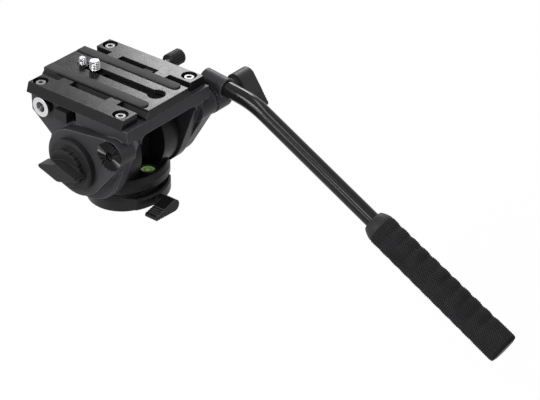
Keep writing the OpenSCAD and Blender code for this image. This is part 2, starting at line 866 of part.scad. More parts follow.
module rosette_disc() {
    color(charcoal) difference() {
        union() {
            cylinder(h = rosette_t, r = rosette_r);
            translate([0, 0, rosette_t]) tooth_ring(bolt_r + 2, rosette_r - 0.3);
        }
        translate([0, 0, -1]) cylinder(h = rosette_t + tooth_h + 2, r = bolt_r + run);
    }
}

module near_rosette() {
    translate([rosette_x, -boss_out, rosette_z]) rotate([90, 0, 0]) rosette_disc();
}

module far_rosette() {
    translate([rosette_x, boss_out, rosette_z]) rotate([-90, 0, 0]) rosette_disc();
}

module accessory_boss() {
    flutes = 20;
    color(black) difference() {
        along_y(accessory_x, accessory_z, -cheek_out - accessory_l, -cheek_out, accessory_r);
        along_y(accessory_x, accessory_z, -cheek_out - accessory_l - 1, -cheek_out + 1,
            sleeve_r + fit);
        for (i = [0 : flutes - 1])
            along_y(accessory_x + accessory_r * cos(i * 360 / flutes),
                accessory_z + accessory_r * sin(i * 360 / flutes),
                -cheek_out - accessory_l - 1, -cheek_out + 1, 0.5, 24);
    }
}

module accessory_insert() {
    mouth = -cheek_out - accessory_l - insert_t;
    color(steel) difference() {
        union() {
            along_y(accessory_x, accessory_z, mouth, mouth + insert_t, insert_r);
            along_y(accessory_x, accessory_z, mouth, mouth + sleeve_l, sleeve_r);
        }
        along_y(accessory_x, accessory_z, mouth - 1, mouth + sleeve_l - 2, thread_r);
    }
}

// Platform

module rail_outline() {
    polygon([[notch_y, deck_top], [rail_out + rail_draft, deck_top], [rail_out, rail_top - 0.6],
        [rail_out - 0.6, rail_top], [notch_y, rail_top]]);
}

// A guide land follows the plate's flank with the sliding clearance
module rail_land_outline() {
    low = plate_foot + slide_gap;
    high = plate_w / 2 + slide_gap;
    polygon([[low, deck_top], [low, plate_z + foot_h + slide_gap], [high, plate_top - neck_h + slide_gap],
        [high, rail_top], [notch_y + 1, rail_top], [notch_y + 1, deck_top]]);
}

module rail() {
    difference() {
        union() {
            along_rail(rail_x - rail_l / 2, rail_x + rail_l / 2) rail_outline();
            for (side = [-1, 1]) {
                x = rail_x + side * land_gap / 2 - 2.5;
                along_rail(x - land_l / 2, x + land_l / 2) rail_land_outline();
            }
        }
        for (side = [-1, 1]) translate([rail_x - 1.3 + side * screw_gap / 2, screw_y, 0]) {
            translate([0, 0, rail_top - counterbore_d]) cylinder(h = counterbore_d + 1, r = counterbore_r);
            translate([0, 0, deck_top - 1]) cylinder(h = rail_t, r = rail_shank_r + fit);
        }
    }
}

module near_rail() {
    color(charcoal) mirror([0, 1, 0]) rail();
}

module far_rail() {
    color(charcoal) difference() {
        rail();
        box([clamp_x - clamp_pad_w / 2 - run, notch_y - 1, clamp_z - clamp_pad_h / 2 - run],
            [clamp_x + clamp_pad_w / 2 + run, clamp_pocket, clamp_z + clamp_pad_h / 2 + run]);
        along_y(clamp_x, clamp_z, notch_y, rail_out + rail_draft + 1, clamp_stud_r + run);
    }
}

module rail_screws() {
    socket_r = 2.4;
    seat = rail_top - counterbore_d;
    color(steel) for (x = [-1, 1], y = [-1, 1])
        translate([rail_x - 1.3 + x * screw_gap / 2, y * screw_y, 0]) difference() {
            union() {
                translate([0, 0, seat]) cylinder(h = rail_head_t, r = rail_head_r);
                translate([0, 0, deck_top - rail_shank_l + air])
                    cylinder(h = seat - deck_top + rail_shank_l, r = rail_shank_r);
            }
            translate([0, 0, seat + rail_head_t - 1.8]) cylinder(h = 3, r = socket_r, $fn = 6);
        }
}

// The fin of the tilt knob: a round middle drawn out to two narrow tips, with straight sides
// that run a hair inside the circles
module fin_outline() {
    tip = 2;
    lap = 0.06;
    mid = fin_t / 2;
    d = fin_l / 2 - tip;
    a = acos((mid - tip) / d);
    tip_x = d + (tip - lap) * cos(a);
    tip_y = (tip - lap) * sin(a);
    mid_x = (mid - lap) * cos(a);
    mid_y = (mid - lap) * sin(a);
    circle(mid);
    for (side = [-1, 1]) translate([side * d, 0]) circle(tip);
    polygon([[tip_x, -tip_y], [tip_x, tip_y], [mid_x, mid_y], [-mid_x, mid_y], [-tip_x, tip_y],
        [-tip_x, -tip_y], [-mid_x, -mid_y], [mid_x, -mid_y]]);
}

module tilt_lock_knob() {
    y0 = land_out + air;
    y1 = y0 + knob_t;
    y2 = y1 + knob_drum_h;
    ribs = 16;
    color(black) mirror([0, 1, 0]) difference() {
        union() {
            along_y(0, tilt_z, y0, y1 - 1, knob_r);
            along_y(0, tilt_z, y1 - 1.2, y1, knob_r - 1);
            along_y(0, tilt_z, -shaft_near + air, y0 + 1, land_hole_r - 2);
            along_y(0, tilt_z, y1 - 1, y2, knob_drum_r);
            translate([0, 0, tilt_z]) across(y2 - 1, y2 + fin_h) fin_outline();
        }
        for (i = [0 : ribs - 1])
            along_y(knob_drum_r * cos(i * 360 / ribs), tilt_z + knob_drum_r * sin(i * 360 / ribs),
                y1, y2 + 1, 1, 24);
        along_y(0, tilt_z, 0, y1, tilt_stud_r + fit);
    }
}

module tilt_lock_stud() {
    stud_in = 15;
    color(steel) along_y(0, tilt_z, -(land_out + air + knob_t), shaft_near + stud_in, tilt_stud_r);
}

module plate_clamp_knob() {
    flutes = 18;
    color(black) difference() {
        union() {
            along_y(clamp_x, clamp_z, clamp_knob_y, clamp_knob_y + clamp_knob_l - 1, clamp_knob_r);
            along_y(clamp_x, clamp_z, clamp_knob_y, clamp_knob_y + clamp_knob_l, clamp_knob_r - 1);
        }
        along_y(clamp_x, clamp_z, clamp_knob_y - 1, clamp_knob_y + clamp_knob_l - 4, clamp_stud_r + fit);
        for (i = [0 : flutes - 1])
            along_y(clamp_x + clamp_knob_r * cos(i * 360 / flutes),
                clamp_z + clamp_knob_r * sin(i * 360 / flutes),
                clamp_knob_y - 1, clamp_knob_y + clamp_knob_l + 1, 0.55, 24);
    }
}

module plate_clamp_stud() {
    color(steel) along_y(clamp_x, clamp_z, clamp_pad_y + clamp_pad_l + 0.1,
        clamp_knob_y + clamp_knob_l - 4, clamp_stud_r);
}

module plate_clamp_pad() {
    color(black) box([clamp_x - clamp_pad_w / 2, clamp_pad_y, clamp_z - clamp_pad_h / 2],
        [clamp_x + clamp_pad_w / 2, clamp_pad_y + clamp_pad_l, clamp_z + clamp_pad_h / 2]);
}

module safety_button() {
    inner = -button_y + button_l;
    color(charcoal) difference() {
        union() {
            box([button_x - button_w / 2, -button_y, button_z],
                [button_x + button_w / 2, inner, button_z + button_h]);
            box([button_x - finger_w / 2, inner - 2, arm_z],
                [button_x + finger_w / 2, stop_y + finger_t / 2, min(arm_z + arm_t, button_z + button_h)]);
            box([button_x - finger_w / 2, stop_y - finger_t / 2, arm_z],
                [button_x + finger_w / 2, stop_y + finger_t / 2, plate_z + finger_groove - 2 * air]);
        }
        along_y(spring_x, spring_z, -button_y + 2.5, inner + 1, spring_hole_r);
    }
}

module safety_spring() {
    turns = 5;
    start = -button_y + 2.5 + spring_wire + 0.1;
    length = -spring_seat - spring_wire - 0.1 - start;
    color(steel) translate([spring_x, start, spring_z]) rotate([-90, 0, 0])
        coil(spring_r, spring_wire, turns, length / turns, 16, 6);
}

// Camera plate

module plate_outline() {
    half = plate_w / 2;
    polygon([[-plate_foot, plate_z], [plate_foot, plate_z], [plate_foot, plate_z + foot_h],
        [half, plate_top - neck_h], [half, plate_top], [-half, plate_top],
        [-half, plate_top - neck_h], [-plate_foot, plate_z + foot_h]]);
}

module camera_plate() {
    groove_y0 = stop_y - finger_t / 2 - 0.5;
    groove_y1 = stop_y + button_travel + finger_t / 2 + 0.5;
    color(charcoal) difference() {
        along_rail(plate_front, plate_back) plate_outline();
        box([channel_x0, -tee_w / 2, plate_z - 1], [channel_x1, tee_w / 2, web_z]);
        box([slot_x0 + slot_w / 2, -slot_w / 2, web_z - 1], [keyhole_x, slot_w / 2, plate_top + 1]);
        translate([slot_x0 + slot_w / 2, 0, web_z - 1]) cylinder(h = plate_t, r = slot_w / 2);
        translate([keyhole_x, 0, web_z - 1]) cylinder(h = plate_t, r = keyhole_r);
        box([button_x - stop_reach - plate_travel, groove_y0, plate_z - 1],
            [button_x + stop_reach + plate_travel, groove_y1, plate_z + finger_groove]);
        for (side = [-1, 1]) translate([button_x + side * stop_reach, stop_y, plate_z - 1])
            cylinder(h = plate_t - 1, r = stop_r + fit);
    }
}

module strip(side) {
    end_gap = 1;
    keyhole_gap = 6;
    y0 = plate_w / 2 - strip_w;
    round_r = strip_w / 2;
    color(rubber) translate([0, 0, plate_top]) linear_extrude(strip_t) {
        translate([plate_front + end_gap, side > 0 ? y0 : -plate_w / 2])
            square([plate_l - end_gap - keyhole_gap - round_r, strip_w]);
        translate([plate_back - keyhole_gap - round_r, side * (y0 + round_r)]) circle(round_r);
    }
}

module near_strip() {
    strip(-1);
}

module far_strip() {
    strip(1);
}

// A slider runs in the channel under the plate and keeps a camera screw upright
slider_z = web_z - slider_t - 0.1;

module quarter_slider() {
    color(steel) difference() {
        union() {
            box([quarter_x - slider_l / 2, -slider_w / 2, slider_z],
                [quarter_x + slider_l / 2, slider_w / 2, slider_z + slider_t]);
            translate([quarter_x, 0, slider_z])
                cylinder(h = plate_top - slider_z - air, r = slot_w / 2 - run);
        }
        translate([quarter_x, 0, slider_z - 1]) cylinder(h = plate_t, r = quarter_neck_r + run);
    }
}

module quarter_screw() {
    camera_screw(quarter_x, quarter_neck_r, quarter_r, quarter_out);
}

module wide_slider() {
    color(steel) difference() {
        box([wide_x - slider_l / 2, -slider_w / 2, slider_z],
            [wide_x + slider_l / 2, slider_w / 2, slider_z + slider_t]);
        translate([wide_x, 0, slider_z - 1]) cylinder(h = plate_t, r = wide_neck_r + run);
    }
}

module wide_screw() {
    camera_screw(wide_x, wide_neck_r, wide_r, wide_out);
}

// A camera screw with a slotted head under the slider, a neck in it and a thread over it
module camera_screw(x, neck_r, thread, out) {
    head_z0 = slider_z - 0.1 - screw_head_t;
    tip = 0.8;
    shoulder = 0.2;
    color(steel) translate([x, 0, 0]) difference() {
        union() {
            translate([0, 0, head_z0]) cylinder(h = screw_head_t, r = screw_head_r);
            translate([0, 0, head_z0]) cylinder(h = plate_top + 1 - head_z0, r = neck_r);
            translate([0, 0, plate_top + shoulder]) cylinder(h = out - tip - shoulder, r = thread);
            translate([0, 0, plate_top + out - tip]) cylinder(h = tip, r1 = thread, r2 = thread - tip);
        }
        translate([-screw_head_r - 1, -0.8, head_z0 - 1]) cube([2 * screw_head_r + 2, 1.6, 2]);
    }
}

module plate_stops() {
    color(steel) for (side = [-1, 1])
        translate([button_x + side * stop_reach, stop_y, plate_z + 0.3])
            cylinder(h = plate_t - 2.5, r = stop_r);
}

// Pan bar

// Places its children at the bolt's axis, turned to the tube's first length
module bar_place() {
    translate([rosette_x, bar_y, rosette_z]) rotate([0, bar_fall, 0]) children();
}

// Places its children at the end of the bend, with X along the second length
module second_place() {
    bar_place() translate([bend_x - bend_t + bend_r * sin(bar_bend), 0,
        bar_rise - bend_r * (1 - cos(bar_bend))]) rotate([0, bar_bend, 0]) children();
}

// The tube's course at the given radius, from the socket's front to the end of the grip,
// with the slight swell that bending leaves
module bar_course(r, start, end) {
    swell = 0.05;
    lap = 0.5;
    bar_place() {
        along_x(0, bar_rise, start, bend_x - bend_t + lap, r);
        translate([bend_x - bend_t, 0, bar_rise - bend_r]) rotate([0, bar_bend - 90, 0])
            rotate([90, 0, 0]) rotate_extrude(angle = bar_bend) translate([bend_r, 0])
                circle(r + swell);
    }
    second_place() along_x(0, 0, -lap, end, r);
}

socket_x0 = -12;

module bar_clamp() {
    color(charcoal) difference() {
        union() {
            along_y(rosette_x, rosette_z, clamp_in, clamp_out, rosette_r + 0.5);
            translate([rosette_x, clamp_in, rosette_z]) rotate([90, 0, 0])
                rotate([0, 0, 180 / teeth]) tooth_ring(bolt_r + 2, rosette_r - 0.3);
            bar_place() along_x(0, bar_rise, socket_x0, socket_x0 + socket_l, socket_r);
        }
        along_y(rosette_x, rosette_z, clamp_in - tooth_h - 1, clamp_out + 1, bolt_r + run);
        bar_place() along_x(0, bar_rise, socket_x0 + 2, socket_x0 + socket_l + 1, tube_r + fit);
    }
}

module bar_bolt() {
    color(steel) along_y(rosette_x, rosette_z, bolt_end, bar_lever_y + bar_neck_l + lever_bore, bolt_r);
}

module bar_lever() {
    y1 = bar_lever_y + bar_neck_l;
    neck_r = 6;
    color(black) difference() {
        union() {
            along_y(rosette_x, rosette_z, bar_lever_y, y1 + 1, neck_r);
            translate([rosette_x, y1, rosette_z]) rotate([-90, 0, 0]) rotate([0, 0, bar_lever_fall])
                paddle(bar_hub_r, 3, bar_reach, bar_lever_w);
        }
        along_y(rosette_x, rosette_z, bar_lever_y - 1, y1 + lever_bore, bolt_r + fit);
    }
}

module bar_tube() {
    color(black) difference() {
        bar_course(tube_r, socket_x0 + 2, second_l - cap_t - 1);
        bar_course(tube_r - tube_t, socket_x0 + 1, second_l);
    }
}

// The grip's outline: a taper with grooves at an even pitch, from a narrow front collar
module grip_outline() {
    collar = 5;
    grooves = floor((grip_l - 2 * collar) / groove_pitch);
    slope = (grip_end_r - grip_front_r) / grip_l;
    valley = 0.16 * groove_pitch;
    polygon(concat(
        [[tube_r + fit, 0], [grip_front_r - 2, 0], [grip_front_r, collar - 1]],
        [for (i = [0 : grooves - 1], step = [-1, 0, 1])
            let (z = collar + groove_pitch * (i + 0.5) + step * valley)
            [grip_front_r + slope * z - (step == 0 ? groove_d : 0), z]],
        [[grip_end_r, grip_l], [tube_r + fit, grip_l]]));
}

module bar_grip() {
    color(rubber) second_place() translate([grip_start, 0, 0]) rotate([0, 90, 0])
        rotate_extrude() grip_outline();
}

module grip_cap() {
    bevel = 1;
    color(charcoal) second_place() translate([grip_start + grip_l, 0, 0]) rotate([0, 90, 0])
        rotate_extrude() polygon([[0, 0], [grip_end_r - 0.4, 0], [grip_end_r - 0.4, cap_t - bevel],
            [grip_end_r - 0.4 - bevel, cap_t], [0, cap_t]]);
}

base();
thread_bush();
pan_spindle();
base_screws();
pan_drag_disc();
pan_brake_pad();
pan_lock_stud();
pan_lock_lever();
turret();
pan_bush();
pan_retaining_ring();
pan_thrust_washer();
bubble_cup();
bubble_vial();
bubble_window();
tilt_shaft();
shaft_nut();
tilt_brake_plate();
tilt_drag_cup();
counterbalance_spring();
yoke();
tilt_bushes();
friction_washers();
tilt_drag_rotor();
tilt_end_cap();
near_rosette();
far_rosette();
accessory_boss();
accessory_insert();
near_rail();
far_rail();
rail_screws();
tilt_lock_knob();
tilt_lock_stud();
plate_clamp_knob();
plate_clamp_stud();
plate_clamp_pad();
safety_button();
safety_spring();
camera_plate();
near_strip();
far_strip();
quarter_slider();
quarter_screw();
wide_slider();
wide_screw();
plate_stops();
bar_clamp();
bar_bolt();
bar_lever();
bar_tube();
bar_grip();
grip_cap();
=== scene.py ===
"""Finishes and fine pieces for the fluid video head, with a small studio round it."""
import json
import math

import bmesh
import bpy
from bpy.props import FloatProperty, FloatVectorProperty, IntProperty, PointerProperty
from mathutils import Matrix, Vector


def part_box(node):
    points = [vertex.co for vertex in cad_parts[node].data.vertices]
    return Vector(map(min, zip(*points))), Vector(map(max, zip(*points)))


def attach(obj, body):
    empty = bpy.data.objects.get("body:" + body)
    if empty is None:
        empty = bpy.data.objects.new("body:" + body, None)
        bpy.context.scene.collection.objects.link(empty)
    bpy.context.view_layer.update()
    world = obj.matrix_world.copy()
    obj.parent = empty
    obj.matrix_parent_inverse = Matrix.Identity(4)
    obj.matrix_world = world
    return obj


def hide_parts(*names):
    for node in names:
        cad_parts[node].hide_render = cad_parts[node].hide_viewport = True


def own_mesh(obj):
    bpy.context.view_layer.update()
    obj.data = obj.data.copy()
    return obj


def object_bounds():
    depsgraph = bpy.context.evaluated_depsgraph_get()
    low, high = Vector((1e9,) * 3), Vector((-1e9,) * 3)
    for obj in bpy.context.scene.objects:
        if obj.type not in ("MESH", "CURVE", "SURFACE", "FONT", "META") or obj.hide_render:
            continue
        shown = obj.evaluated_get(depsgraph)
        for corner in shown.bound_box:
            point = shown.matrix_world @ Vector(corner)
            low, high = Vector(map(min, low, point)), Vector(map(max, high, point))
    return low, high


bl_info = {
    "name": "Fluid video head",
    "version": (1, 0, 0),
    "blender": (4, 5, 0),
    "location": "3D View > Sidebar > Video head",
    "description": "Finishes, rubber, threads and level of a fluid video head, and a studio for it",
    "category": "Object",
}

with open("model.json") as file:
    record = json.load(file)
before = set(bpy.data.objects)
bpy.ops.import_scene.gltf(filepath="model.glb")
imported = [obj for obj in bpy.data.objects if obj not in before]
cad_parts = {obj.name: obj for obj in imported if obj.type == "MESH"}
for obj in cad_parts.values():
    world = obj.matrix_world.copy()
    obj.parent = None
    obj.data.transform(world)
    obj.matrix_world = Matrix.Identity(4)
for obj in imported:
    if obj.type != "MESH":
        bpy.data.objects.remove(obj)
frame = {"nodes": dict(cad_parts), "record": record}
CAD_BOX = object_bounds()
MM = 0.001
# Start of the names of the materials made here, because the frame's own have the slots' plain names
HEAD = "head_"
# Mesh attribute of the camera screws for the painted shade in their threads: 0 on the crest of a thread,
# 1 at its root
GROOVE_SHADE = "groove_shade"


def colour(name, description, default):
    """A colour that a user may change."""
    return FloatVectorProperty(name=name, description=description, default=default, subtype="COLOR",
                               size=3, min=0.0, max=1.0)


def length(name, description, millimetres):
    """A length that a user may change, given here in millimetres."""
    return FloatProperty(name=name, description=description, default=millimetres * MM, min=0.0,
                         unit="LENGTH", subtype="DISTANCE", precision=5)


def count(name, description, default):
    """A number of like pieces that a user may change."""
    return IntProperty(name=name, description=description, default=default, min=8)


class HeadColours(bpy.types.PropertyGroup):
    """Colours of the head's finishes"""

    paint: colour("Paint", "Base and turret", (0.009, 0.009, 0.010))
    casting: colour("Casting", "Yoke, rosettes and bar clamp", (0.026, 0.026, 0.0285))
    rails: colour("Rails", "Rails and camera plate", (0.009, 0.009, 0.0095))
    plastic: colour("Plastic", "Knobs, levers and button", (0.014, 0.014, 0.0148))
    rubber: colour("Rubber", "Grip of the pan bar", (0.020, 0.020, 0.021))
    strip: colour("Strip", "Rubber strips on the camera plate", (0.034, 0.034, 0.035))
    tube: colour("Tube", "Lacquer of the pan bar", (0.008, 0.008, 0.0085))
    chrome: colour("Chrome", "Screws and accessory ring", (0.66, 0.66, 0.68))
    steel: colour("Steel", "Shafts, studs and springs", (0.50, 0.50, 0.52))
    aluminium: colour("Aluminium", "Drag cup", (0.62, 0.62, 0.64))
    brass: colour("Brass", "Bushes, pads and washers", (0.60, 0.42, 0.15))
    fluid: colour("Level fluid", "Fluid of the round level", (0.46, 0.82, 0.16))
    glass: colour("Level window", "Window of the round level", (0.97, 0.99, 0.95))


class HeadSizes(bpy.types.PropertyGroup):
    """Sizes of the head's fine pieces"""

    edge: length("Edge", "Rounding of the castings' edges", 1.4)
    fine_edge: length("Fine edge", "Rounding of machined and painted edges", 0.5)
    pip: length("Pip", "Width of each raised pip on the grip", 1.15)
    pip_height: length("Pip height", "How far the pips stand out of the grip", 0.32)
    pip_rows: count("Pip rows", "Rows of pips round the grip", 44)
    pip_rings: count("Pip rings", "Rings of pips along the grip", 78)
    wave: length("Wave", "Depth of the finger waves on top of the grip", 0.95)
    quarter_pitch: length("Small pitch", "Pitch of the 1/4 inch thread", 1.27)
    wide_pitch: length("Large pitch", "Pitch of the 3/8 inch threads", 1.5875)
    thread_depth: length("Thread depth", "Depth of the camera screws' threads", 0.85)
    tooth: length("Tooth", "Height of the near rosette's teeth", 1.6)
    spring_wire: length("Spring wire", "Radius of the button spring's wire", 0.45)
    spring_turns: FloatProperty(name="Spring turns", description="Turns of the button spring",
                                default=5.0, min=1.0)
    floor_gap: length("Floor gap",
                      "Room under the head at rest, so that the lowered bar clears the floor", 285.0)


# Materials

# Sockets of the Mix node when it mixes colours
MIX_SHARE, MIX_FIRST, MIX_SECOND, MIX_RESULT = 0, 6, 7, 2
# Cosine between the rounded and the flat normal, on an edge and on a flat
EDGE_COSINE, FLAT_COSINE = 0.82, 0.985
BEVEL_SAMPLES = 6


def shade(rgb, factor):
    """A colour made darker or lighter."""
    return tuple(min(1.0, c * factor) for c in rgb)


def pale(rgb, share):
    """A colour mixed with a share of white."""
    return tuple(c + (1.0 - c) * share for c in rgb)


class Nodes:
    """Builds one material's node tree."""

    def __init__(self, name):
        self.material = bpy.data.materials.new(HEAD + name)
        self.material.use_nodes = True
        self.tree = self.material.node_tree
        self.tree.nodes.clear()
        self.output = self.add("ShaderNodeOutputMaterial")
        self.shader = self.add("ShaderNodeBsdfPrincipled")
        self.link(self.shader.outputs["BSDF"], self.output.inputs["Surface"])
        self.place = self.add("ShaderNodeTexCoord").outputs["Object"]

    def add(self, kind, **values):
        """A node with the given sockets or settings."""
        node = self.tree.nodes.new(kind)
        for key, value in values.items():
            if key in node.inputs:
                node.inputs[key].default_value = value
            else:
                setattr(node, key, value)
        return node

    def link(self, out, into):
        """Joins an output to an input."""
        self.tree.links.new(out, into)

    def set(self, **values):
        """Plain numbers on the shader's own sockets, with _ for a space."""
        for key, value in values.items():
            self.shader.inputs[key.replace("_", " ")].default_value = value

    def give(self, **outputs):
        """Links outputs to the shader's own sockets, with _ for a space."""
        for key, out in outputs.items():
            self.link(out, self.shader.inputs[key.replace("_", " ")])

    def noise(self, scale, detail=2.0, rough=0.5, stretch=None):
        """Noise on the object's own coordinates, in cycles a metre, times stretch along each axis."""
        node = self.add("ShaderNodeTexNoise", Scale=scale, Detail=detail, Roughness=rough)
        self.link(self.stretched(stretch) if stretch else self.place, node.inputs["Vector"])
        return node.outputs["Fac"]

    def stretched(self, scale):
        """The object's own coordinates, each times its scale."""
        mapping = self.add("ShaderNodeMapping", Scale=scale)
        self.link(self.place, mapping.inputs["Vector"])
        return mapping.outputs["Vector"]

    def spread(self, value, low, high, start=0.3, end=0.7):
        """Maps a value from start and end to low and high."""
        node = self.add("ShaderNodeMapRange")
        self.link(value, node.inputs["Value"])
        for key, number in (("From Min", start), ("From Max", end), ("To Min", low), ("To Max", high)):
            node.inputs[key].default_value = number
        return node.outputs["Result"]

    def tint(self, value, first, second):
        """A mix of two colours, plain or linked, by a value from 0 to 1."""
        node = self.add("ShaderNodeMix", data_type="RGBA")
        self.link(value, node.inputs[MIX_SHARE])
        for socket, rgb in ((node.inputs[MIX_FIRST], first), (node.inputs[MIX_SECOND], second)):
            if isinstance(rgb, bpy.types.NodeSocket):
                self.link(rgb, socket)
            else:
                socket.default_value = (*rgb, 1.0)
        return node.outputs[MIX_RESULT]

    def mottle(self, value, rgb, dark, light):
        """A colour that drifts between a darker and a lighter shade of itself."""
        return self.tint(self.spread(value, 0.0, 1.0), shade(rgb, dark), shade(rgb, light))

    def bump(self, height, distance, strength=1.0, under=None):
        """Normals of a relief, laid over other normals where they are given."""
        node = self.add("ShaderNodeBump", Strength=strength, Distance=distance)
        self.link(height, node.inputs["Height"])
        if under is not None:
            self.link(under, node.inputs["Normal"])
        return node.outputs["Normal"]

    def rounded(self, radius):
        """Normals that round the edges."""
        return self.add("ShaderNodeBevel", samples=BEVEL_SAMPLES, Radius=radius).outputs["Normal"]

    def edge_mask(self, normal):
        """1 along rounded edges, 0 on flats."""
        flat = self.add("ShaderNodeNewGeometry").outputs["Normal"]
        dot = self.add("ShaderNodeVectorMath", operation="DOT_PRODUCT")
        self.link(normal, dot.inputs[0])
        self.link(flat, dot.inputs[1])
        return self.spread(dot.outputs["Value"], 1.0, 0.0, EDGE_COSINE, FLAT_COSINE)


def end_in_mix(tree, output, share, first, second):
    """Ends a tree in a mix of two shaders."""
    mix = tree.nodes.new("ShaderNodeMixShader")
    for out, socket in zip((share, first, second), mix.inputs):
        tree.links.new(out, socket)
    tree.links.new(mix.outputs[0], output.inputs["Surface"])


def coated(name, rgb, rough, grain, depth, edge, specular, edge_wear_and_painted_light=1.5):
    """Paint, anodising or moulded plastic: a fine grain, slight cloudiness, and edges tinted by a
    factor, above 1 a painted highlight on partly worn edges, below 1 painted shade.
    """
    n = Nodes(name)
    normal = n.rounded(edge)
    cloud = n.noise(scale=38.0, detail=3.0)
    speck = n.noise(scale=grain, rough=0.6)
    smudge = n.noise(scale=140.0, detail=4.0, rough=0.6)
    body = n.mottle(cloud, rgb, dark=0.88, light=1.12)
    # Edges take the colour times a factor: above 1 a painted highlight on partly worn edges, below 1
    # painted shade in them
    n.give(Base_Color=n.tint(n.edge_mask(normal), body, shade(rgb, edge_wear_and_painted_light)),
           Roughness=n.spread(smudge, rough - 0.04, rough + 0.05),
           Normal=n.bump(speck, depth, under=normal))
    n.set(Specular_IOR_Level=specular)
    return n.material


def metal(name, rgb, rough, lay, edge):
    """Turned or plated metal with fine tool marks, finer one way by lay."""
    n = Nodes(name)
    cloud = n.noise(scale=60.0, detail=3.0)
    marks = n.noise(scale=900.0, detail=3.0, rough=0.6, stretch=lay)
    n.give(Base_Color=n.mottle(cloud, rgb, dark=0.93, light=1.05),
           Roughness=n.spread(marks, rough - 0.04, rough + 0.06),
           Normal=n.bump(marks, 0.02 * MM, strength=0.6, under=n.rounded(edge)))
    n.set(Metallic=1.0)
    return n.material


def threaded(name, rgb, rough):
    """Plated metal with painted shade in the grooves of its thread."""
    n = Nodes(name)
    groove_shade = n.add("ShaderNodeAttribute", attribute_name=GROOVE_SHADE).outputs["Fac"]
    marks = n.noise(scale=900.0, detail=3.0, rough=0.6)
    n.give(Base_Color=n.tint(n.spread(groove_shade, 0.0, 1.0, start=0.08, end=0.6), rgb, shade(rgb, 0.1)),
           Roughness=n.spread(marks, rough - 0.03, rough + 0.05))
    n.set(Metallic=1.0)
    return n.material


def rubbery(name, rgb, rough, grain, depth, edge, specular=0.07):
    """Matte rubber with a fine skin and a little bloom."""
    n = Nodes(name)
    skin = n.noise(scale=grain, detail=3.0, rough=0.65)
    bloom = n.noise(scale=55.0, detail=4.0, rough=0.6)
    n.give(Base_Color=n.mottle(bloom, rgb, dark=0.82, light=1.22),
           Roughness=n.spread(skin, rough - 0.08, rough + 0.08),
           Normal=n.bump(skin, depth, under=n.rounded(edge)))
    n.set(Specular_IOR_Level=specular)
    return n.material


def lacquer(name, rgb):
    """Gloss lacquer with a faint ripple."""
    n = Nodes(name)
    ripple = n.noise(scale=70.0)
    fine = n.noise(scale=1400.0)
    n.give(Base_Color=n.mottle(ripple, rgb, dark=0.9, light=1.1),
           Roughness=n.spread(fine, 0.12, 0.17),
           Normal=n.bump(ripple, 0.04 * MM, strength=0.5))
    n.set(Specular_IOR_Level=0.18)
    return n.material


def level_fluid(name, rgb):
    """Fluorescent fluid, ink or bubble of the level, a little paler in places; all of them glow faintly
    in their own colour, as painted light.
    """
    n = Nodes(name)
    swirl = n.noise(scale=240.0)
    n.give(Base_Color=n.mottle(swirl, rgb, dark=0.88, light=1.15),
           Roughness=n.spread(swirl, 0.18, 0.26))
    # A faint glow in the piece's own colour: painted light
    n.set(Emission_Color=(*rgb, 1.0), Emission_Strength=0.1, Specular_IOR_Level=0.25)
    return n.material


def window_glass(name, rgb):
    """Thin clear window: mostly see-through, with a soft gloss and faint smears."""
    n = Nodes(name)
    smear = n.noise(scale=300.0, detail=3.0)
    n.give(Base_Color=n.mottle(smear, rgb, dark=0.9, light=1.0),
           Roughness=n.spread(smear, 0.04, 0.10))
    clear = n.add("ShaderNodeBsdfTransparent", Color=(*rgb, 1.0))
    gloss = n.spread(smear, 0.03, 0.07)
    end_in_mix(n.tree, n.output, gloss, clear.outputs[0], n.shader.outputs[0])
    return n.material


# The skin that the moulded knobs and levers share
MOULDED = {"grain": 1900.0, "depth": 0.03 * MM, "edge": 0.7 * MM}
# Rounding of small turned and plated edges
PLATED_EDGE = 0.3 * MM
# How much finer the tool marks are along Y or Z than across
LAY_Y, LAY_Z = (1.0, 6.0, 1.0), (1.0, 1.0, 6.0)
FINE_LAY_Y, FINE_LAY_Z = (1.0, 8.0, 1.0), (1.0, 1.0, 8.0)


def make_finishes(colours, sizes):
    """All the head's materials, by the record's slots."""
    fine = sizes.fine_edge
    # The last factor of each coated finish lightens its edges: a painted highlight on partly worn edges
    return {
        "black_paint": coated("black_paint", colours.paint, rough=0.36, grain=2600.0, depth=0.03 * MM,
                              edge=fine, specular=0.13, edge_wear_and_painted_light=5.0),
        "charcoal_cast": coated("charcoal_cast", colours.casting, rough=0.40, grain=2300.0,
                                depth=0.04 * MM, edge=sizes.edge, specular=0.14, edge_wear_and_painted_light=3.4),
        "anodised": coated("anodised", colours.rails, rough=0.21, grain=3200.0, depth=0.012 * MM,
                           edge=fine, specular=0.15, edge_wear_and_painted_light=10.0),
        "black_plastic": coated("black_plastic", colours.plastic, rough=0.36, specular=0.11, edge_wear_and_painted_light=3.0,
                                **MOULDED),
        "steel": metal("steel", colours.steel, rough=0.32, lay=FINE_LAY_Z, edge=fine),
        "aluminium": metal("aluminium", colours.aluminium, rough=0.36, lay=FINE_LAY_Y, edge=fine),
        "chrome": metal("chrome", colours.chrome, rough=0.14, lay=LAY_Z, edge=PLATED_EDGE),
        "brass": metal("brass", colours.brass, rough=0.30, lay=LAY_Z, edge=fine),
        "rubber": rubbery("rubber", shade(colours.rubber, 0.6), rough=0.72, grain=1500.0,
                          depth=0.12 * MM, edge=fine, specular=0.03),
        "gloss_black": lacquer("gloss_black", colours.tube),
        "green_fluid": level_fluid("green_fluid", colours.fluid),
        "clear": window_glass("clear", colours.glass),
    }


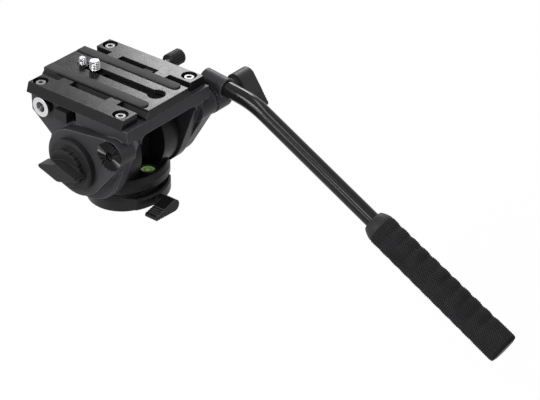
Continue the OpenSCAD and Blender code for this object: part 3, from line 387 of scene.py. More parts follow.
def own_finishes(colours, made):
    """Finishes of the pieces that look unlike the rest of their slot, by node."""
    return {
        "rail_screws": metal("socket_steel", shade(colours.steel, 0.34), rough=0.34, lay=LAY_Z,
                             edge=PLATED_EDGE),
        # A darker copy of the plastic with strongly lightened edges: a painted highlight along them
        "pan_lock_lever": coated("lever_gloss_painted_highlight", shade(colours.plastic, 0.4), rough=0.3, specular=0.14,
                                 edge_wear_and_painted_light=22.0, **MOULDED),
        # A lighter copy of the plastic, painted light, with darkened edges: painted shade in the ribs'
        # grooves
        "bar_lever": coated("lever_satin_painted_light", shade(colours.plastic, 1.9), rough=0.4, specular=0.12,
                            edge_wear_and_painted_light=0.12, **MOULDED),
        # The sliders take the dark anodised finish in place of their chrome: painted shade under the
        # camera screws
        "quarter_slider": made["anodised"],
        "wide_slider": made["anodised"],
    }


def finish(slot):
    """The material of a record slot, made by the finishes' operator."""
    if HEAD + slot not in bpy.data.materials:
        raise RuntimeError("make the finishes first")
    return bpy.data.materials[HEAD + slot]


class HEAD_OT_finishes(bpy.types.Operator):
    """Give each piece of the head its finish"""

    bl_idname = "video_head.finishes"
    bl_label = "Finishes"

    def execute(self, context):
        colours = context.scene.head_colours
        made = make_finishes(colours, context.scene.head_sizes)
        own = own_finishes(colours, made)
        for part in frame["record"]["subparts"]:
            node = part["node"]
            for slot in frame["nodes"][node].material_slots:
                slot.material = own.get(node, made[part["material_slot"]])
        return {"FINISHED"}


# Meshes


def settle(name, mesh, body, material=None, smooth=40.0, hides=()):
    """Links a finished mesh as a piece of a body, in place of the CAD nodes that it hides.

    A mesh from a node tree has its material already. Edges sharper than smooth degrees stay hard.
    """
    piece = bpy.data.objects.new(name, mesh)
    bpy.context.scene.collection.objects.link(piece)
    if material is not None:
        mesh.materials.append(material)
    mesh.polygons.foreach_set("use_smooth", [True] * len(mesh.polygons))
    mesh.set_sharp_from_angle(angle=math.radians(smooth))
    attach(piece, body)
    if hides:
        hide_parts(*hides)
    return piece


def outward_mesh(name, work):
    """The mesh of a bmesh, with its faces turned outward. The bmesh is freed."""
    bmesh.ops.recalc_face_normals(work, faces=work.faces[:])
    mesh = bpy.data.meshes.new(name)
    work.to_mesh(mesh)
    work.free()
    return mesh


def rings_mesh(name, rings, loop=False):
    """A closed skin over rings of points: a fan over each end, or the last ring joined to the first."""
    work = bmesh.new()
    rows = [[work.verts.new(point) for point in ring] for ring in rings]
    ends = [] if loop else [rows[0][::-1], rows[-1]]
    if loop:
        rows.append(rows[0])
    sides = len(rows[0])
    pairs = [(i, (i + 1) % sides) for i in range(sides)]
    for low, high in zip(rows, rows[1:]):
        for i, j in pairs:
            work.faces.new((low[i], low[j], high[j], high[i]))
    for row in ends:
        middle = work.verts.new(sum((vertex.co for vertex in row), Vector()) / sides)
        for i, j in pairs:
            work.faces.new((row[i], row[j], middle))
    return outward_mesh(name, work)


def turns_of(sides):
    """Even steps round a circle."""
    return [2 * math.pi * i / sides for i in range(sides)]


def ring_of(radii, z):
    """A ring of points round Z, one for each radius."""
    return [(r * math.cos(t), r * math.sin(t), z) for r, t in zip(radii, turns_of(len(radii)))]


def even_ring(r, z, sides):
    """A round ring of points round Z."""
    return ring_of([r] * sides, z)


class Tree:
    """Builds one Geometry Nodes tree with named inputs."""

    def __init__(self, name):
        self.group = bpy.data.node_groups.new(name, "GeometryNodeTree")
        self.group.interface.new_socket("Geometry", in_out="OUTPUT", socket_type="NodeSocketGeometry")
        self.inputs = {}
        self.material = None
        self.entry = self.group.nodes.new("NodeGroupInput")
        self.exit = self.group.nodes.new("NodeGroupOutput")

    def size(self, name, kind="NodeSocketFloat"):
        """A named input, and the socket that gives it inside the tree."""
        item = self.group.interface.new_socket(name, in_out="INPUT", socket_type=kind)
        self.inputs[name] = item.identifier
        return next(s for s in self.entry.outputs if s.identifier == item.identifier)

    def node(self, kind, links=None, **values):
        """A node with its settings, and its inputs linked or set."""
        node = self.group.nodes.new(kind)
        for key, value in values.items():
            setattr(node, key, value)
        for key, value in (links or {}).items():
            socket = node.inputs[key]
            if isinstance(value, bpy.types.NodeSocket):
                self.group.links.new(value, socket)
            else:
                socket.default_value = value
        return node

    def math(self, operation, a, b=0.0):
        """The result of one sum."""
        return self.node("ShaderNodeMath", {0: a, 1: b}, operation=operation).outputs[0]

    def vector(self, x=0.0, y=0.0, z=0.0):
        """A vector of three values."""
        return self.node("ShaderNodeCombineXYZ", {0: x, 1: y, 2: z}).outputs[0]

    def close(self, geometry, material):
        """Ends the tree in real geometry with its material."""
        real = self.node("GeometryNodeRealizeInstances", {0: geometry})
        painted = self.node("GeometryNodeSetMaterial",
                            {"Geometry": real.outputs[0], "Material": material})
        self.group.links.new(painted.outputs[0], self.exit.inputs[0])
        self.material = material

    def mesh(self, name, values):
        """Runs the tree with the given inputs and returns its plain mesh."""
        owner = bpy.data.objects.new(name + "_source", bpy.data.meshes.new(name + "_source"))
        bpy.context.scene.collection.objects.link(owner)
        modifier = owner.modifiers.new("Nodes", "NODES")
        modifier.node_group = self.group
        for key, value in values.items():
            modifier[self.inputs[key]] = value
        bpy.context.view_layer.update()
        depsgraph = bpy.context.evaluated_depsgraph_get()
        mesh = bpy.data.meshes.new_from_object(owner.evaluated_get(depsgraph))
        mesh.name = name
        owner.modifiers.clear()
        bpy.data.objects.remove(owner)
        # The tree's primitives bring an empty material slot, so only the tree's own is kept
        mesh.materials.clear()
        mesh.materials.append(self.material)
        return mesh


# The grip of the pan bar

# The bar's pivot, its slope, and the bend of its tube
PIVOT_X, PIVOT_Z = 45.0 * MM, 82.4 * MM
BAR_FALL, BAR_BEND = math.radians(7.0), math.radians(20.7)
BEND_CORNER, BEND_R, BAR_RISE = 42.0 * MM, 80.0 * MM, 13.0 * MM
# The grip along the bar, from the end of the bend
GRIP_START, GRIP_L, CAP_T = 130.4 * MM, 154.0 * MM, 3.0 * MM
GRIP_FRONT_R, GRIP_END_R, TUBE_R = 13.4 * MM, 14.3 * MM, 7.14 * MM
GRIP_SIDES = 72
# Smooth collar at the front: a rounded cone, as x and radius in millimetres
COLLAR_FROM, COLLAR_TO = 2.6 * MM, 13.0 * MM
COLLAR_PROFILE = ((0.0, 9.2), (0.5, 9.9), (2.0, 10.8), (4.0, 11.8), (6.0, 12.6), (8.0, 13.2),
                  (9.4, 13.45), (10.4, 13.3))
# Waved body, with a rounded end as lengths back from the end and in from the outside, in millimetres
SKIN_END = GRIP_L + CAP_T - 0.4 * MM
SKIN_STEP, SKIN_END_L, SKIN_DROP = 0.8 * MM, 2.4 * MM, 0.3 * MM
END_PROFILE = ((1.9, 0.0), (0.9, 0.25), (0.3, 0.8), (0.0, 1.7), (0.0, 3.2))
WAVES_FROM, WAVES_TO, WAVE_PITCH = 17.0 * MM, 137.0 * MM, 12.0 * MM
# Share of the waves' depth on the lower side, and how fast they fade round the grip
LOWER_WAVES, WAVE_FADE = 0.4, 0.7
# Disc in the grip's end, as x from the end and radius in millimetres
DISC_PROFILE = ((-1.6, 11.2), (0.25, 11.2), (0.4, 10.9))
# Bare lengths of the body before the first ring of pips, and in all
PIPS_AFTER, PIPS_BARE = 1.5 * MM, 5.0 * MM


def grip_place():
    """The grip's own frame: X along the bar from the grip's front, Z up and away from the bar."""
    bend_t = BEND_R * math.tan(BAR_BEND / 2)
    low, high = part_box("bar_grip")
    pivot = Vector((PIVOT_X, (low.y + high.y) / 2, PIVOT_Z))
    first = Matrix.Translation(pivot) @ Matrix.Rotation(BAR_FALL, 4, "Y")
    corner = Vector((BEND_CORNER - bend_t + BEND_R * math.sin(BAR_BEND), 0.0,
                     BAR_RISE - BEND_R * (1 - math.cos(BAR_BEND))))
    second = first @ Matrix.Translation(corner) @ Matrix.Rotation(BAR_BEND, 4, "Y")
    return second @ Matrix.Translation((GRIP_START, 0.0, 0.0))


def grip_radius(x, turn, wave):
    """The grip's radius at x along it: a taper, with finger waves that are deepest on its upper side."""
    r = GRIP_FRONT_R + (GRIP_END_R - GRIP_FRONT_R) * x / GRIP_L
    if WAVES_FROM < x < WAVES_TO:
        side = math.cos(turn)
        depth = abs(side) ** WAVE_FADE * (1.0 if side > 0.0 else LOWER_WAVES)
        hollow = 0.5 - 0.5 * math.cos(2 * math.pi * (x - WAVES_FROM) / WAVE_PITCH)
        r -= wave * depth * hollow ** 2
    return r


def grip_ring(x, radii):
    """A ring of points across the grip's axis, one for each radius."""
    return [(x, r * math.sin(t), r * math.cos(t)) for r, t in zip(radii, turns_of(GRIP_SIDES))]


def round_grip_ring(x, r):
    """A round ring of points across the grip's axis."""
    return grip_ring(x, [r] * GRIP_SIDES)


def collar_rings():
    """Rings of the smooth collar, from the tube out to the body."""
    cone = [round_grip_ring(COLLAR_FROM + x * MM, r * MM) for x, r in COLLAR_PROFILE]
    return [round_grip_ring(COLLAR_FROM, TUBE_R), *cone, round_grip_ring(COLLAR_TO, TUBE_R)]


def body_rings(wave):
    """Rings of the waved body, with a rounded end round the cap."""
    rings = [round_grip_ring(COLLAR_TO, TUBE_R), round_grip_ring(COLLAR_TO, GRIP_FRONT_R - SKIN_DROP)]
    for i in range(1, int((SKIN_END - SKIN_END_L - COLLAR_TO) / SKIN_STEP)):
        x = COLLAR_TO + i * SKIN_STEP
        rings.append(grip_ring(x, [grip_radius(x, t, wave) for t in turns_of(GRIP_SIDES)]))
    for back, inside in END_PROFILE:
        rings.append(round_grip_ring(SKIN_END - back * MM, GRIP_END_R - inside * MM))
    return rings


def disc_rings():
    """Rings of the disc in the grip's end."""
    return [round_grip_ring(SKIN_END + x * MM, r * MM) for x, r in DISC_PROFILE]


def pip_tree(material):
    """Low round pips in staggered rings along a tapered grip."""
    tree = Tree("grip_pips")
    side, height = tree.size("Side"), tree.size("Height")
    rows, rings = tree.size("Rows", "NodeSocketInt"), tree.size("Rings", "NodeSocketInt")
    start, span = tree.size("Start"), tree.size("Span")
    front, slope = tree.size("Front radius"), tree.size("Slope")
    grid = tree.node("GeometryNodeMeshGrid",
                     {"Size X": span, "Size Y": 1.0, "Vertices X": rings, "Vertices Y": rows})
    place = tree.node("ShaderNodeSeparateXYZ", {0: tree.node("GeometryNodeInputPosition").outputs[0]})
    along = tree.math("ADD", tree.math("ADD", place.outputs[0], tree.math("MULTIPLY", span, 0.5)), start)
    ring = tree.math("FLOOR", tree.math("DIVIDE", tree.node("GeometryNodeInputIndex").outputs[0], rows))
    shift = tree.math("DIVIDE", tree.math("MULTIPLY", tree.math("MODULO", ring, 2.0), 0.5), rows)
    gap = tree.math("DIVIDE", tree.math("SUBTRACT", rows, 1.0), rows)
    share = tree.math("ADD", tree.math("MULTIPLY", place.outputs[1], gap), shift)
    turn = tree.math("MULTIPLY", share, 2 * math.pi)
    r = tree.math("ADD", front, tree.math("MULTIPLY", along, slope))
    spot = tree.vector(along, tree.math("MULTIPLY", r, tree.math("SINE", turn)),
                       tree.math("MULTIPLY", r, tree.math("COSINE", turn)))
    moved = tree.node("GeometryNodeSetPosition", {"Geometry": grid.outputs[0], "Position": spot})
    ball = tree.node("GeometryNodeMeshIcoSphere", {"Radius": 0.5, "Subdivisions": 1})
    angle = tree.vector(tree.math("MULTIPLY", turn, -1.0))
    copies = tree.node("GeometryNodeInstanceOnPoints",
                       {"Points": moved.outputs[0], "Instance": ball.outputs[0], "Rotation": angle,
                        "Scale": tree.vector(side, side, tree.math("MULTIPLY", height, 2.0))})
    tree.close(copies.outputs[0], material)
    return tree


def pips_mesh(sizes, material):
    """The grip's pips, sunk with the skin under them into the finger waves."""
    pips = pip_tree(material).mesh("grip_pips", {
        "Side": sizes.pip, "Height": sizes.pip_height,
        "Rows": sizes.pip_rows, "Rings": sizes.pip_rings,
        "Start": COLLAR_TO + PIPS_AFTER, "Span": SKIN_END - PIPS_BARE - COLLAR_TO,
        "Front radius": GRIP_FRONT_R, "Slope": (GRIP_END_R - GRIP_FRONT_R) / GRIP_L})
    for vertex in pips.vertices:
        x, y, z = vertex.co
        turn = math.atan2(y, z)
        drop = grip_radius(x, turn, 0.0) - grip_radius(x, turn, sizes.wave)
        vertex.co.y -= drop * math.sin(turn)
        vertex.co.z -= drop * math.cos(turn)
    return pips


class HEAD_OT_grip(bpy.types.Operator):
    """Make the rubber grip with its finger waves and pips"""

    bl_idname = "video_head.grip"
    bl_label = "Grip"

    def execute(self, context):
        sizes = context.scene.head_sizes
        colours = context.scene.head_colours
        # The collar is a smoother rubber in a lighter copy of its colour: the lighter colour is a
        # painted sheen
        smooth = rubbery("collar_rubber_painted_sheen", shade(colours.rubber, 1.2), rough=0.46, grain=1700.0,
                         depth=0.04 * MM, edge=0.3 * MM)
        disc = coated("grip_end", colours.plastic, rough=0.5, grain=1900.0, depth=0.03 * MM,
                      edge=0.3 * MM, specular=0.12)
        # The pips take a lighter copy of the rubber than the body between them: painted light on their
        # raised tips
        lit_pip_rubber = rubbery("pip_rubber_painted_light", shade(colours.rubber, 2.2), rough=0.6, grain=1700.0,
                       depth=0.04 * MM, edge=0.2 * MM, specular=0.01)
        place = grip_place()
        for name, rings, slot, material, hides in (
                ("rubber_grip", body_rings(sizes.wave), "rubber", finish("rubber"),
                 ("bar_grip", "grip_cap")),
                ("grip_collar", collar_rings(), "rubber", smooth, ()),
                ("grip_end_disc", disc_rings(), "black_plastic", disc, ())):
            skin = rings_mesh(name, rings)
            skin.transform(place)
            settle(name, skin, "bar", material, hides=hides)
        pips = pips_mesh(sizes, lit_pip_rubber)
        pips.transform(place)
        settle("grip_pips", pips, "bar", smooth=30.0)
        return {"FINISHED"}


# The rubber strips of the camera plate

STRIP_EDGE, STRIP_EDGE_STEPS = 0.45 * MM, 3
STRIP_ARC_STEPS = 16
# How near to the top a point counts as on it
TOP_REACH = 0.01 * MM


def strip_mesh(name, node):
    """A strip with rounded edges over its CAD node, flat at the front and round at the back."""
    low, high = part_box(node)
    half = (high.y - low.y) / 2
    middle = (high.y + low.y) / 2
    back = high.x - half
    outline = [(low.x, middle - half)]
    for i in range(STRIP_ARC_STEPS + 1):
        turn = math.pi * i / STRIP_ARC_STEPS
        outline.append((back + half * math.sin(turn), middle - half * math.cos(turn)))
    outline.append((low.x, middle + half))
    work = bmesh.new()
    face = work.faces.new([work.verts.new((x, y, low.z)) for x, y in outline])
    top = bmesh.ops.extrude_face_region(work, geom=[face])["geom"]
    bmesh.ops.translate(work, verts=[v for v in top if isinstance(v, bmesh.types.BMVert)],
                        vec=(0.0, 0.0, high.z - low.z))
    bmesh.ops.recalc_face_normals(work, faces=work.faces[:])
    rim = [e for e in work.edges if all(v.co.z > high.z - TOP_REACH for v in e.verts)]
    bmesh.ops.bevel(work, geom=rim, offset=STRIP_EDGE, segments=STRIP_EDGE_STEPS, affect="EDGES",
                    profile=0.5)
    return outward_mesh(name, work)


class HEAD_OT_strips(bpy.types.Operator):
    """Make the rubber strips on the camera plate"""

    bl_idname = "video_head.strips"
    bl_label = "Rubber strips"

    def execute(self, context):
        rubber = rubbery("strip_rubber", context.scene.head_colours.strip, rough=0.56, grain=1800.0,
                         depth=0.05 * MM, edge=0.3 * MM)
        for node in ("near_strip", "far_strip"):
            name = node + "_rubber"
            settle(name, strip_mesh(name, node), "plate", rubber, hides=(node,))
        return {"FINISHED"}


# The camera screws

SCREW_SIDES = 36
# Rings of points for each turn of a thread
THREAD_STEPS = 8
SCREW_HEAD, SCREW_EDGE = 2.0 * MM, 0.3 * MM
# Plain neck under the thread, and how far above the plate the thread starts
NECK_GAP, THREAD_GAP = 0.2 * MM, 0.2 * MM
# The thread fades over these lengths to these shares of its depth, at the tip and at the foot
TIP_FADE, TIP_SHARE = 1.1 * MM, 0.25
FOOT_FADE, FOOT_SHARE = 0.9 * MM, 0.2
TIP_CHAMFER, TIP_SLOPE = 0.7 * MM, 0.8
# Above 1, the crests are cut flat
CREST_CUT = 1.15
# Top of a screw that is left without the painted shade of its grooves
TIP_FLAT = 0.5 * MM


def crest(z, pitch, turn):
    """How high a thread stands at a place on it, from 0 at its root to 1 at its crest."""
    return 1.0 - abs(2.0 * ((z / pitch - turn / (2 * math.pi)) % 1.0) - 1.0)


def screw_rings(node, thread, neck, pitch, depth, shoulder):
    """Rings of a camera screw: flat head, neck, helical thread and chamfered tip."""
    low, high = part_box(node)
    head = (high.x - low.x) / 2
    head_top = low.z + SCREW_HEAD
    shank = ((head - SCREW_EDGE, low.z), (head, low.z + SCREW_EDGE), (head, head_top - SCREW_EDGE),
             (head - SCREW_EDGE, head_top), (neck, head_top), (neck, shoulder - NECK_GAP))
    rings = [even_ring(r, z, SCREW_SIDES) for r, z in shank]
    steps = int((high.z - shoulder) / pitch * THREAD_STEPS)
    for k in range(steps + 1):
        z = shoulder + (high.z - shoulder) * k / steps
        rise = depth * min(1.0, (high.z - z) / TIP_FADE + TIP_SHARE,
                           (z - shoulder) / FOOT_FADE + FOOT_SHARE)
        tip = thread - max(0.0, TIP_CHAMFER - (high.z - z)) * TIP_SLOPE
        radii = [min(tip, thread - depth + rise * min(1.0, CREST_CUT * crest(z - shoulder, pitch, t)))
                 for t in turns_of(SCREW_SIDES)]
        rings.append(ring_of(radii, z))
    return rings


class HEAD_OT_camera_screws(bpy.types.Operator):
    """Make the two camera screws with their threads"""

    bl_idname = "video_head.camera_screws"
    bl_label = "Camera screws"

    def execute(self, context):
        sizes = context.scene.head_sizes
        depth = sizes.thread_depth
        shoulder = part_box("camera_plate")[1].z + THREAD_GAP
        plated = threaded("screw_chrome", context.scene.head_colours.chrome, rough=0.16)
        for node, body, thread, neck, pitch in (
                ("quarter_screw", "quarter_spin", 3.17 * MM, 2.67 * MM, sizes.quarter_pitch),
                ("wide_screw", "wide_spin", 4.76 * MM, 3.96 * MM, sizes.wide_pitch)):
            low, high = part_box(node)
            middle = (low + high) / 2
            name = node + "_thread"
            mesh = rings_mesh(name, screw_rings(node, thread, neck, pitch, depth, shoulder))
            # How deep each point lies in the thread, which sets the painted shade in its grooves
            grooves = [0.0 if vertex.co.z > high.z - TIP_FLAT else (thread - vertex.co.xy.length) / depth
                       for vertex in mesh.vertices]
            mesh.attributes.new(GROOVE_SHADE, "FLOAT", "POINT").data.foreach_set("value", grooves)
            mesh.transform(Matrix.Translation((middle.x, middle.y, 0.0)))
            settle(name, mesh, body, plated, smooth=35.0, hides=(node,))
        return {"FINISHED"}


# The round level

# Inner and outer radius of the printed rings, as shares of the fluid's
LEVEL_RINGS = {"level_ring": (0.46, 0.54), "level_rim": (0.86, 0.96)}
RING_FOOT, RING_TOP, RING_SIDES = -0.02 * MM, 0.06 * MM, 48
BUBBLE_SHARE, BUBBLE_HEIGHT, BUBBLE_SIDES, BUBBLE_STEPS = 0.36, 0.12 * MM, 32, 6


class HEAD_OT_level(bpy.types.Operator):
    """Make the printed rings and the bubble of the round level"""

    bl_idname = "video_head.level"
    bl_label = "Round level"

    def execute(self, context):
        fluid = context.scene.head_colours.fluid
        inks = {"level_ring": shade(fluid, 0.12), "level_rim": pale(fluid, 0.5)}
        low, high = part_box("bubble_vial")
        middle, r = (low + high) / 2, (high.x - low.x) / 2
        place = Matrix.Translation((middle.x, middle.y, high.z))
        for name, (inner, outer) in LEVEL_RINGS.items():
            section = ((inner, RING_FOOT), (outer, RING_FOOT), (outer, RING_TOP), (inner, RING_TOP))
            rings = [even_ring(share * r, z, RING_SIDES) for share, z in section]
            ring = rings_mesh(name, rings, loop=True)
            ring.transform(place)
            settle(name, ring, "turret", level_fluid(name, inks[name]))
        climbs = [math.pi / 2 * i / BUBBLE_STEPS for i in range(BUBBLE_STEPS)]
        dome = rings_mesh("level_bubble", [
            even_ring(BUBBLE_SHARE * r * math.cos(a), BUBBLE_HEIGHT * math.sin(a), BUBBLE_SIDES)
            for a in climbs])
        dome.transform(place)
        bubble = level_fluid("level_bubble", pale(fluid, 0.35))
        settle("level_bubble", dome, "turret", bubble)
        return {"FINISHED"}


# The near rosette and the accessory thread

# Turns a piece made along Z to face the near side
TO_NEAR_SIDE = Matrix.Rotation(math.radians(90), 4, "X")
ROSETTE_BORE_R, ROSETTE_TEETH = 4.0 * MM, 24
# Threaded bore of the accessory ring: its wall stands in the ring's plain hole
BORE_R, BORE_L, BORE_INSET, BORE_WALL = 4.74 * MM, 9.0 * MM, 0.7 * MM, 0.3 * MM
BORE_THREAD, BORE_SIDES = 0.55 * MM, 40
# Floor of the bore, dark as painted shade deep in the hole
PLUG_R, PLUG_T, PLUG_SIDES = 4.6 * MM, 0.6 * MM, 32
BORE_EDGE = 0.1 * MM
THREAD_STEEL = (0.16, 0.16, 0.165)


def tooth_rings(r_in, r_out, plate, height, teeth):
    """Four rings of a toothed disc that stands on z = 0: outer wall, radial teeth and inner wall."""
    def toothed(r):
        """The teeth at a radius, as high as they are far from the middle."""
        tops = [plate, plate + height * r / r_out] * teeth
        return [(x, y, top) for (x, y, _), top in zip(even_ring(r, 0.0, 2 * teeth), tops)]

    return [even_ring(r_out, 0.0, 2 * teeth), toothed(r_out), toothed(r_in),
            even_ring(r_in, 0.0, 2 * teeth)]


def bore_rings(pitch):
    """Rings of a threaded lining inside a bore that opens at z = 0 and runs down."""
    rings = [even_ring(BORE_R + BORE_WALL, z, BORE_SIDES) for z in (-BORE_L, 0.0)]
    steps = int(BORE_L / pitch * THREAD_STEPS)
    for k in range(steps + 1):
        z = -BORE_L * k / steps
        radii = [BORE_R - BORE_THREAD * crest(z, pitch, t) for t in turns_of(BORE_SIDES)]
        rings.append(ring_of(radii, z))
    return rings


class HEAD_OT_near_side(bpy.types.Operator):
    """Make the toothed near rosette and the thread in the accessory ring"""

    bl_idname = "video_head.near_side"
    bl_label = "Rosette and accessory thread"

    def execute(self, context):
        sizes = context.scene.head_sizes
        colours = context.scene.head_colours
        self.make_rosette(sizes.tooth, colours)
        self.make_bore(sizes.wide_pitch, colours)
        return {"FINISHED"}

    def make_rosette(self, tooth, colours):
        """The toothed disc, in place of its plain node."""
        low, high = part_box("near_rosette")
        middle, r = (low + high) / 2, (high.x - low.x) / 2
        rings = tooth_rings(ROSETTE_BORE_R, r, high.y - low.y - tooth, tooth, ROSETTE_TEETH)
        disc = rings_mesh("toothed_rosette", rings, loop=True)
        disc.transform(Matrix.Translation((middle.x, high.y, middle.z)) @ TO_NEAR_SIDE)
        gloss = coated("rosette_gloss", shade(colours.plastic, 0.2), rough=0.16, grain=2600.0,
                       depth=0.01 * MM, edge=0.1 * MM, specular=0.16)
        settle("toothed_rosette", disc, "yoke", gloss, smooth=18.0,
               hides=("near_rosette",))

    def make_bore(self, pitch, colours):
        """The thread in the accessory ring, and its floor, dark as painted shade."""
        low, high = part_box("accessory_insert")
        middle = (low + high) / 2
        place = Matrix.Translation((middle.x, low.y + BORE_INSET, middle.z)) @ TO_NEAR_SIDE
        lining = rings_mesh("accessory_thread", bore_rings(pitch), loop=True)
        lining.transform(place)
        dark = metal("thread_steel", THREAD_STEEL, rough=0.24, lay=LAY_Y, edge=BORE_EDGE)
        settle("accessory_thread", lining, "yoke", dark)
        plug = rings_mesh("accessory_floor", [
            even_ring(PLUG_R, z, PLUG_SIDES) for z in (-BORE_L, PLUG_T - BORE_L)])
        plug.transform(place)
        shadow = coated("bore_floor_painted_shade", shade(colours.paint, 0.4), rough=0.6, grain=1900.0,
                        depth=0.03 * MM, edge=BORE_EDGE, specular=0.05)
        settle("accessory_floor", plug, "yoke", shadow)


# The spring of the safety button

# Points of the wire for each turn, and round it
COIL_STEPS, WIRE_SIDES = 24, 10


def spring_tree(material):
    """A round wire wound along Z."""
    tree = Tree("button_spring")
    wire, coil = tree.size("Wire radius"), tree.size("Coil radius")
    rise, turns = tree.size("Rise"), tree.size("Turns")
    path = tree.node("GeometryNodeCurveSpiral",
                     {"Resolution": COIL_STEPS, "Rotations": turns, "Start Radius": coil,
                      "End Radius": coil, "Height": rise})
    section = tree.node("GeometryNodeCurvePrimitiveCircle", {"Resolution": WIRE_SIDES, "Radius": wire})
    swept = tree.node("GeometryNodeCurveToMesh",
                      {"Curve": path.outputs[0], "Profile Curve": section.outputs[0], "Fill Caps": True})
    tree.close(swept.outputs[0], material)
    return tree


class HEAD_OT_spring(bpy.types.Operator):
    """Make the safety button's spring"""

    bl_idname = "video_head.spring"
    bl_label = "Button spring"

    def execute(self, context):
        sizes = context.scene.head_sizes
        wire = sizes.spring_wire
        low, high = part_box("safety_spring")
        middle = (low + high) / 2
        long = high.y - low.y
        wound = spring_tree(finish("steel")).mesh("button_spring", {
            "Wire radius": wire, "Coil radius": (high.x - low.x) / 2 - wire,
            "Rise": long - 2 * wire, "Turns": sizes.spring_turns})
        place = Matrix.Translation((middle.x, low.y + wire, middle.z))
        wound.transform(place @ Matrix.Rotation(math.radians(-90), 4, "X"))
        spring = settle("button_spring", wound, "yoke", hides=("safety_spring",))
        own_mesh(spring)
        return {"FINISHED"}


# The studio

# The world's colour and strength where it is seen or mirrored, and as light
SEEN_WORLD = ((1.0, 1.0, 1.0), 1.0)
SOFT_WORLD = ((0.96, 0.98, 1.0), 0.28)
# The floor's two greys, its share of plain white where it is seen, and its reach
FLOOR_GREYS = ((0.84, 0.84, 0.84), (0.86, 0.86, 0.86))
FLOOR_WHITE, FLOOR_REACH = 0.94, 6.0
# Each lamp's name, place, aim, width and height, and watts
LAMPS = (
    ("back_softbox", (-0.92, 1.63, 1.05), (0.03, 0.03, 0.1), (0.9, 0.6), 20.5),
    ("key_softbox", (-0.35, -1.55, 1.2), (0.0, 0.0, 0.05), (0.8, 0.6), 26.0),
    ("top_softbox", (0.62, -1.2, 1.35), (0.03, 0.0, 0.08), (0.45, 0.35), 6.0),
    ("side_softbox", (1.6, 0.5, 0.9), (0.05, 0.0, 0.05), (0.5, 0.5), 3.0),
    ("over_strip", (0.24, 0.1, 1.35), (0.22, 0.09, 0.02), (1.0, 0.2), 5.5),
    ("front_strip", (-0.17, -1.39, 0.47), (0.2, 0.09, 0.02), (1.0, 0.17), 6.5),
)
CAMERA_PLACE = (0.95018, -0.97636, 0.84921)
CAMERA_LOOK = (-0.52917, 0.65912, -0.53436)
CAMERA_LENS, CAMERA_SENSOR = 120.0, 36.0


def seen_rays(tree):
    """1 for camera, glossy and transmission rays."""
    path = tree.nodes.new("ShaderNodeLightPath")
    total = path.outputs["Is Camera Ray"]
    for kind in ("Is Glossy Ray", "Is Transmission Ray"):
        most = tree.nodes.new("ShaderNodeMath")
        most.operation = "MAXIMUM"
        tree.links.new(total, most.inputs[0])
        tree.links.new(path.outputs[kind], most.inputs[1])
        total = most.outputs[0]
    return total


def studio_world():
    """A pale world: white where it is seen or mirrored, and a plain soft light elsewhere."""
    world = bpy.data.worlds.new("studio")
    world.use_nodes = True
    tree = world.node_tree
    tree.nodes.clear()
    lights = []
    for rgb, strength in (SOFT_WORLD, SEEN_WORLD):
        light = tree.nodes.new("ShaderNodeBackground")
        light.inputs["Color"].default_value = (*rgb, 1.0)
        light.inputs["Strength"].default_value = strength
        lights.append(light.outputs[0])
    end_in_mix(tree, tree.nodes.new("ShaderNodeOutputWorld"), seen_rays(tree), *lights)
    return world


def floor_material():
    """Pale floor that stays white where it is seen, apart from a soft shadow."""
    n = Nodes("studio_floor")
    cloud = n.noise(scale=3.0)
    n.give(Base_Color=n.tint(n.spread(cloud, 0.0, 1.0), *FLOOR_GREYS))
    n.set(Roughness=0.9, Specular_IOR_Level=0.1)
    glow = n.add("ShaderNodeEmission", Strength=1.0)
    share = n.add("ShaderNodeMath", operation="MULTIPLY")
    n.link(seen_rays(n.tree), share.inputs[0])
    share.inputs[1].default_value = FLOOR_WHITE
    end_in_mix(n.tree, n.output, share.outputs[0], n.shader.outputs[0], glow.outputs[0])
    return n.material


def add_floor(scene, z):
    """A wide flat floor at a height."""
    corners = [(x * FLOOR_REACH, y * FLOOR_REACH, z) for x, y in ((-1, -1), (1, -1), (1, 1), (-1, 1))]
    mesh = bpy.data.meshes.new("studio_floor")
    mesh.from_pydata(corners, [], [(0, 1, 2, 3)])
    mesh.materials.append(floor_material())
    floor = bpy.data.objects.new("studio_floor", mesh)
    scene.collection.objects.link(floor)


def add_facing(scene, name, data, place, look):
    """A lamp or camera at a place, facing along look."""
    item = bpy.data.objects.new(name, data)
    item.location = place
    item.rotation_euler = Vector(look).to_track_quat("-Z", "Y").to_euler()
    scene.collection.objects.link(item)
    return item


def add_lamp(scene, name, place, aim, size, watts):
    """A soft lamp with straight sides that points at a spot."""
    data = bpy.data.lights.new(name, "AREA")
    data.shape = "RECTANGLE"
    data.size, data.size_y = size
    data.energy = watts
    add_facing(scene, name, data, place, Vector(aim) - Vector(place))


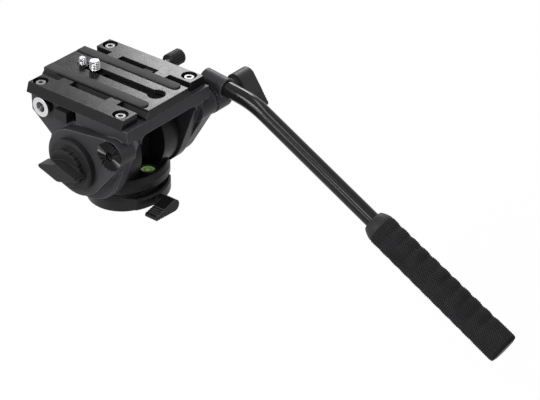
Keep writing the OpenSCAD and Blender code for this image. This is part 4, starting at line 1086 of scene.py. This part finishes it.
def add_camera(scene):
    """The camera, at the photograph's viewing angle."""
    data = bpy.data.cameras.new("camera")
    data.lens, data.sensor_width = CAMERA_LENS, CAMERA_SENSOR
    scene.camera = add_facing(scene, "camera", data, CAMERA_PLACE, CAMERA_LOOK)


class HEAD_OT_studio(bpy.types.Operator):
    """Set the floor, the light and the camera"""

    bl_idname = "video_head.studio"
    bl_label = "Studio"

    def execute(self, context):
        scene = context.scene
        scene.view_settings.view_transform = "Standard"
        scene.world = studio_world()
        add_floor(scene, CAD_BOX[0].z - scene.head_sizes.floor_gap)
        for lamp in LAMPS:
            add_lamp(scene, *lamp)
        add_camera(scene)
        return {"FINISHED"}


# The add-on


class HEAD_PT_panel(bpy.types.Panel):
    """Sizes, colours and steps of the video head"""

    bl_label = "Video head"
    bl_idname = "HEAD_PT_panel"
    bl_space_type = "VIEW_3D"
    bl_region_type = "UI"
    bl_category = "Video head"

    def draw(self, context):
        for group in (context.scene.head_colours, context.scene.head_sizes):
            box = self.layout.box()
            for key in group.__annotations__:
                box.prop(group, key)
        for step in STEPS:
            self.layout.operator(step.bl_idname)


STEPS = (HEAD_OT_finishes, HEAD_OT_grip, HEAD_OT_strips, HEAD_OT_camera_screws, HEAD_OT_level,
         HEAD_OT_near_side, HEAD_OT_spring, HEAD_OT_studio)
CLASSES = (HeadColours, HeadSizes, *STEPS, HEAD_PT_panel)


def register():
    """Adds the classes and their values to Blender."""
    for item in CLASSES:
        bpy.utils.register_class(item)
    bpy.types.Scene.head_colours = PointerProperty(type=HeadColours)
    bpy.types.Scene.head_sizes = PointerProperty(type=HeadSizes)


def unregister():
    """Takes the classes and their values out again."""
    del bpy.types.Scene.head_sizes
    del bpy.types.Scene.head_colours
    for item in reversed(CLASSES):
        bpy.utils.unregister_class(item)


def main():
    """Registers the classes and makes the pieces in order."""
    register()
    bpy.ops.video_head.finishes()
    bpy.ops.video_head.grip()
    bpy.ops.video_head.strips()
    bpy.ops.video_head.camera_screws()
    bpy.ops.video_head.level()
    bpy.ops.video_head.near_side()
    bpy.ops.video_head.spring()
    bpy.ops.video_head.studio()


if __name__ == "__main__":
    main()
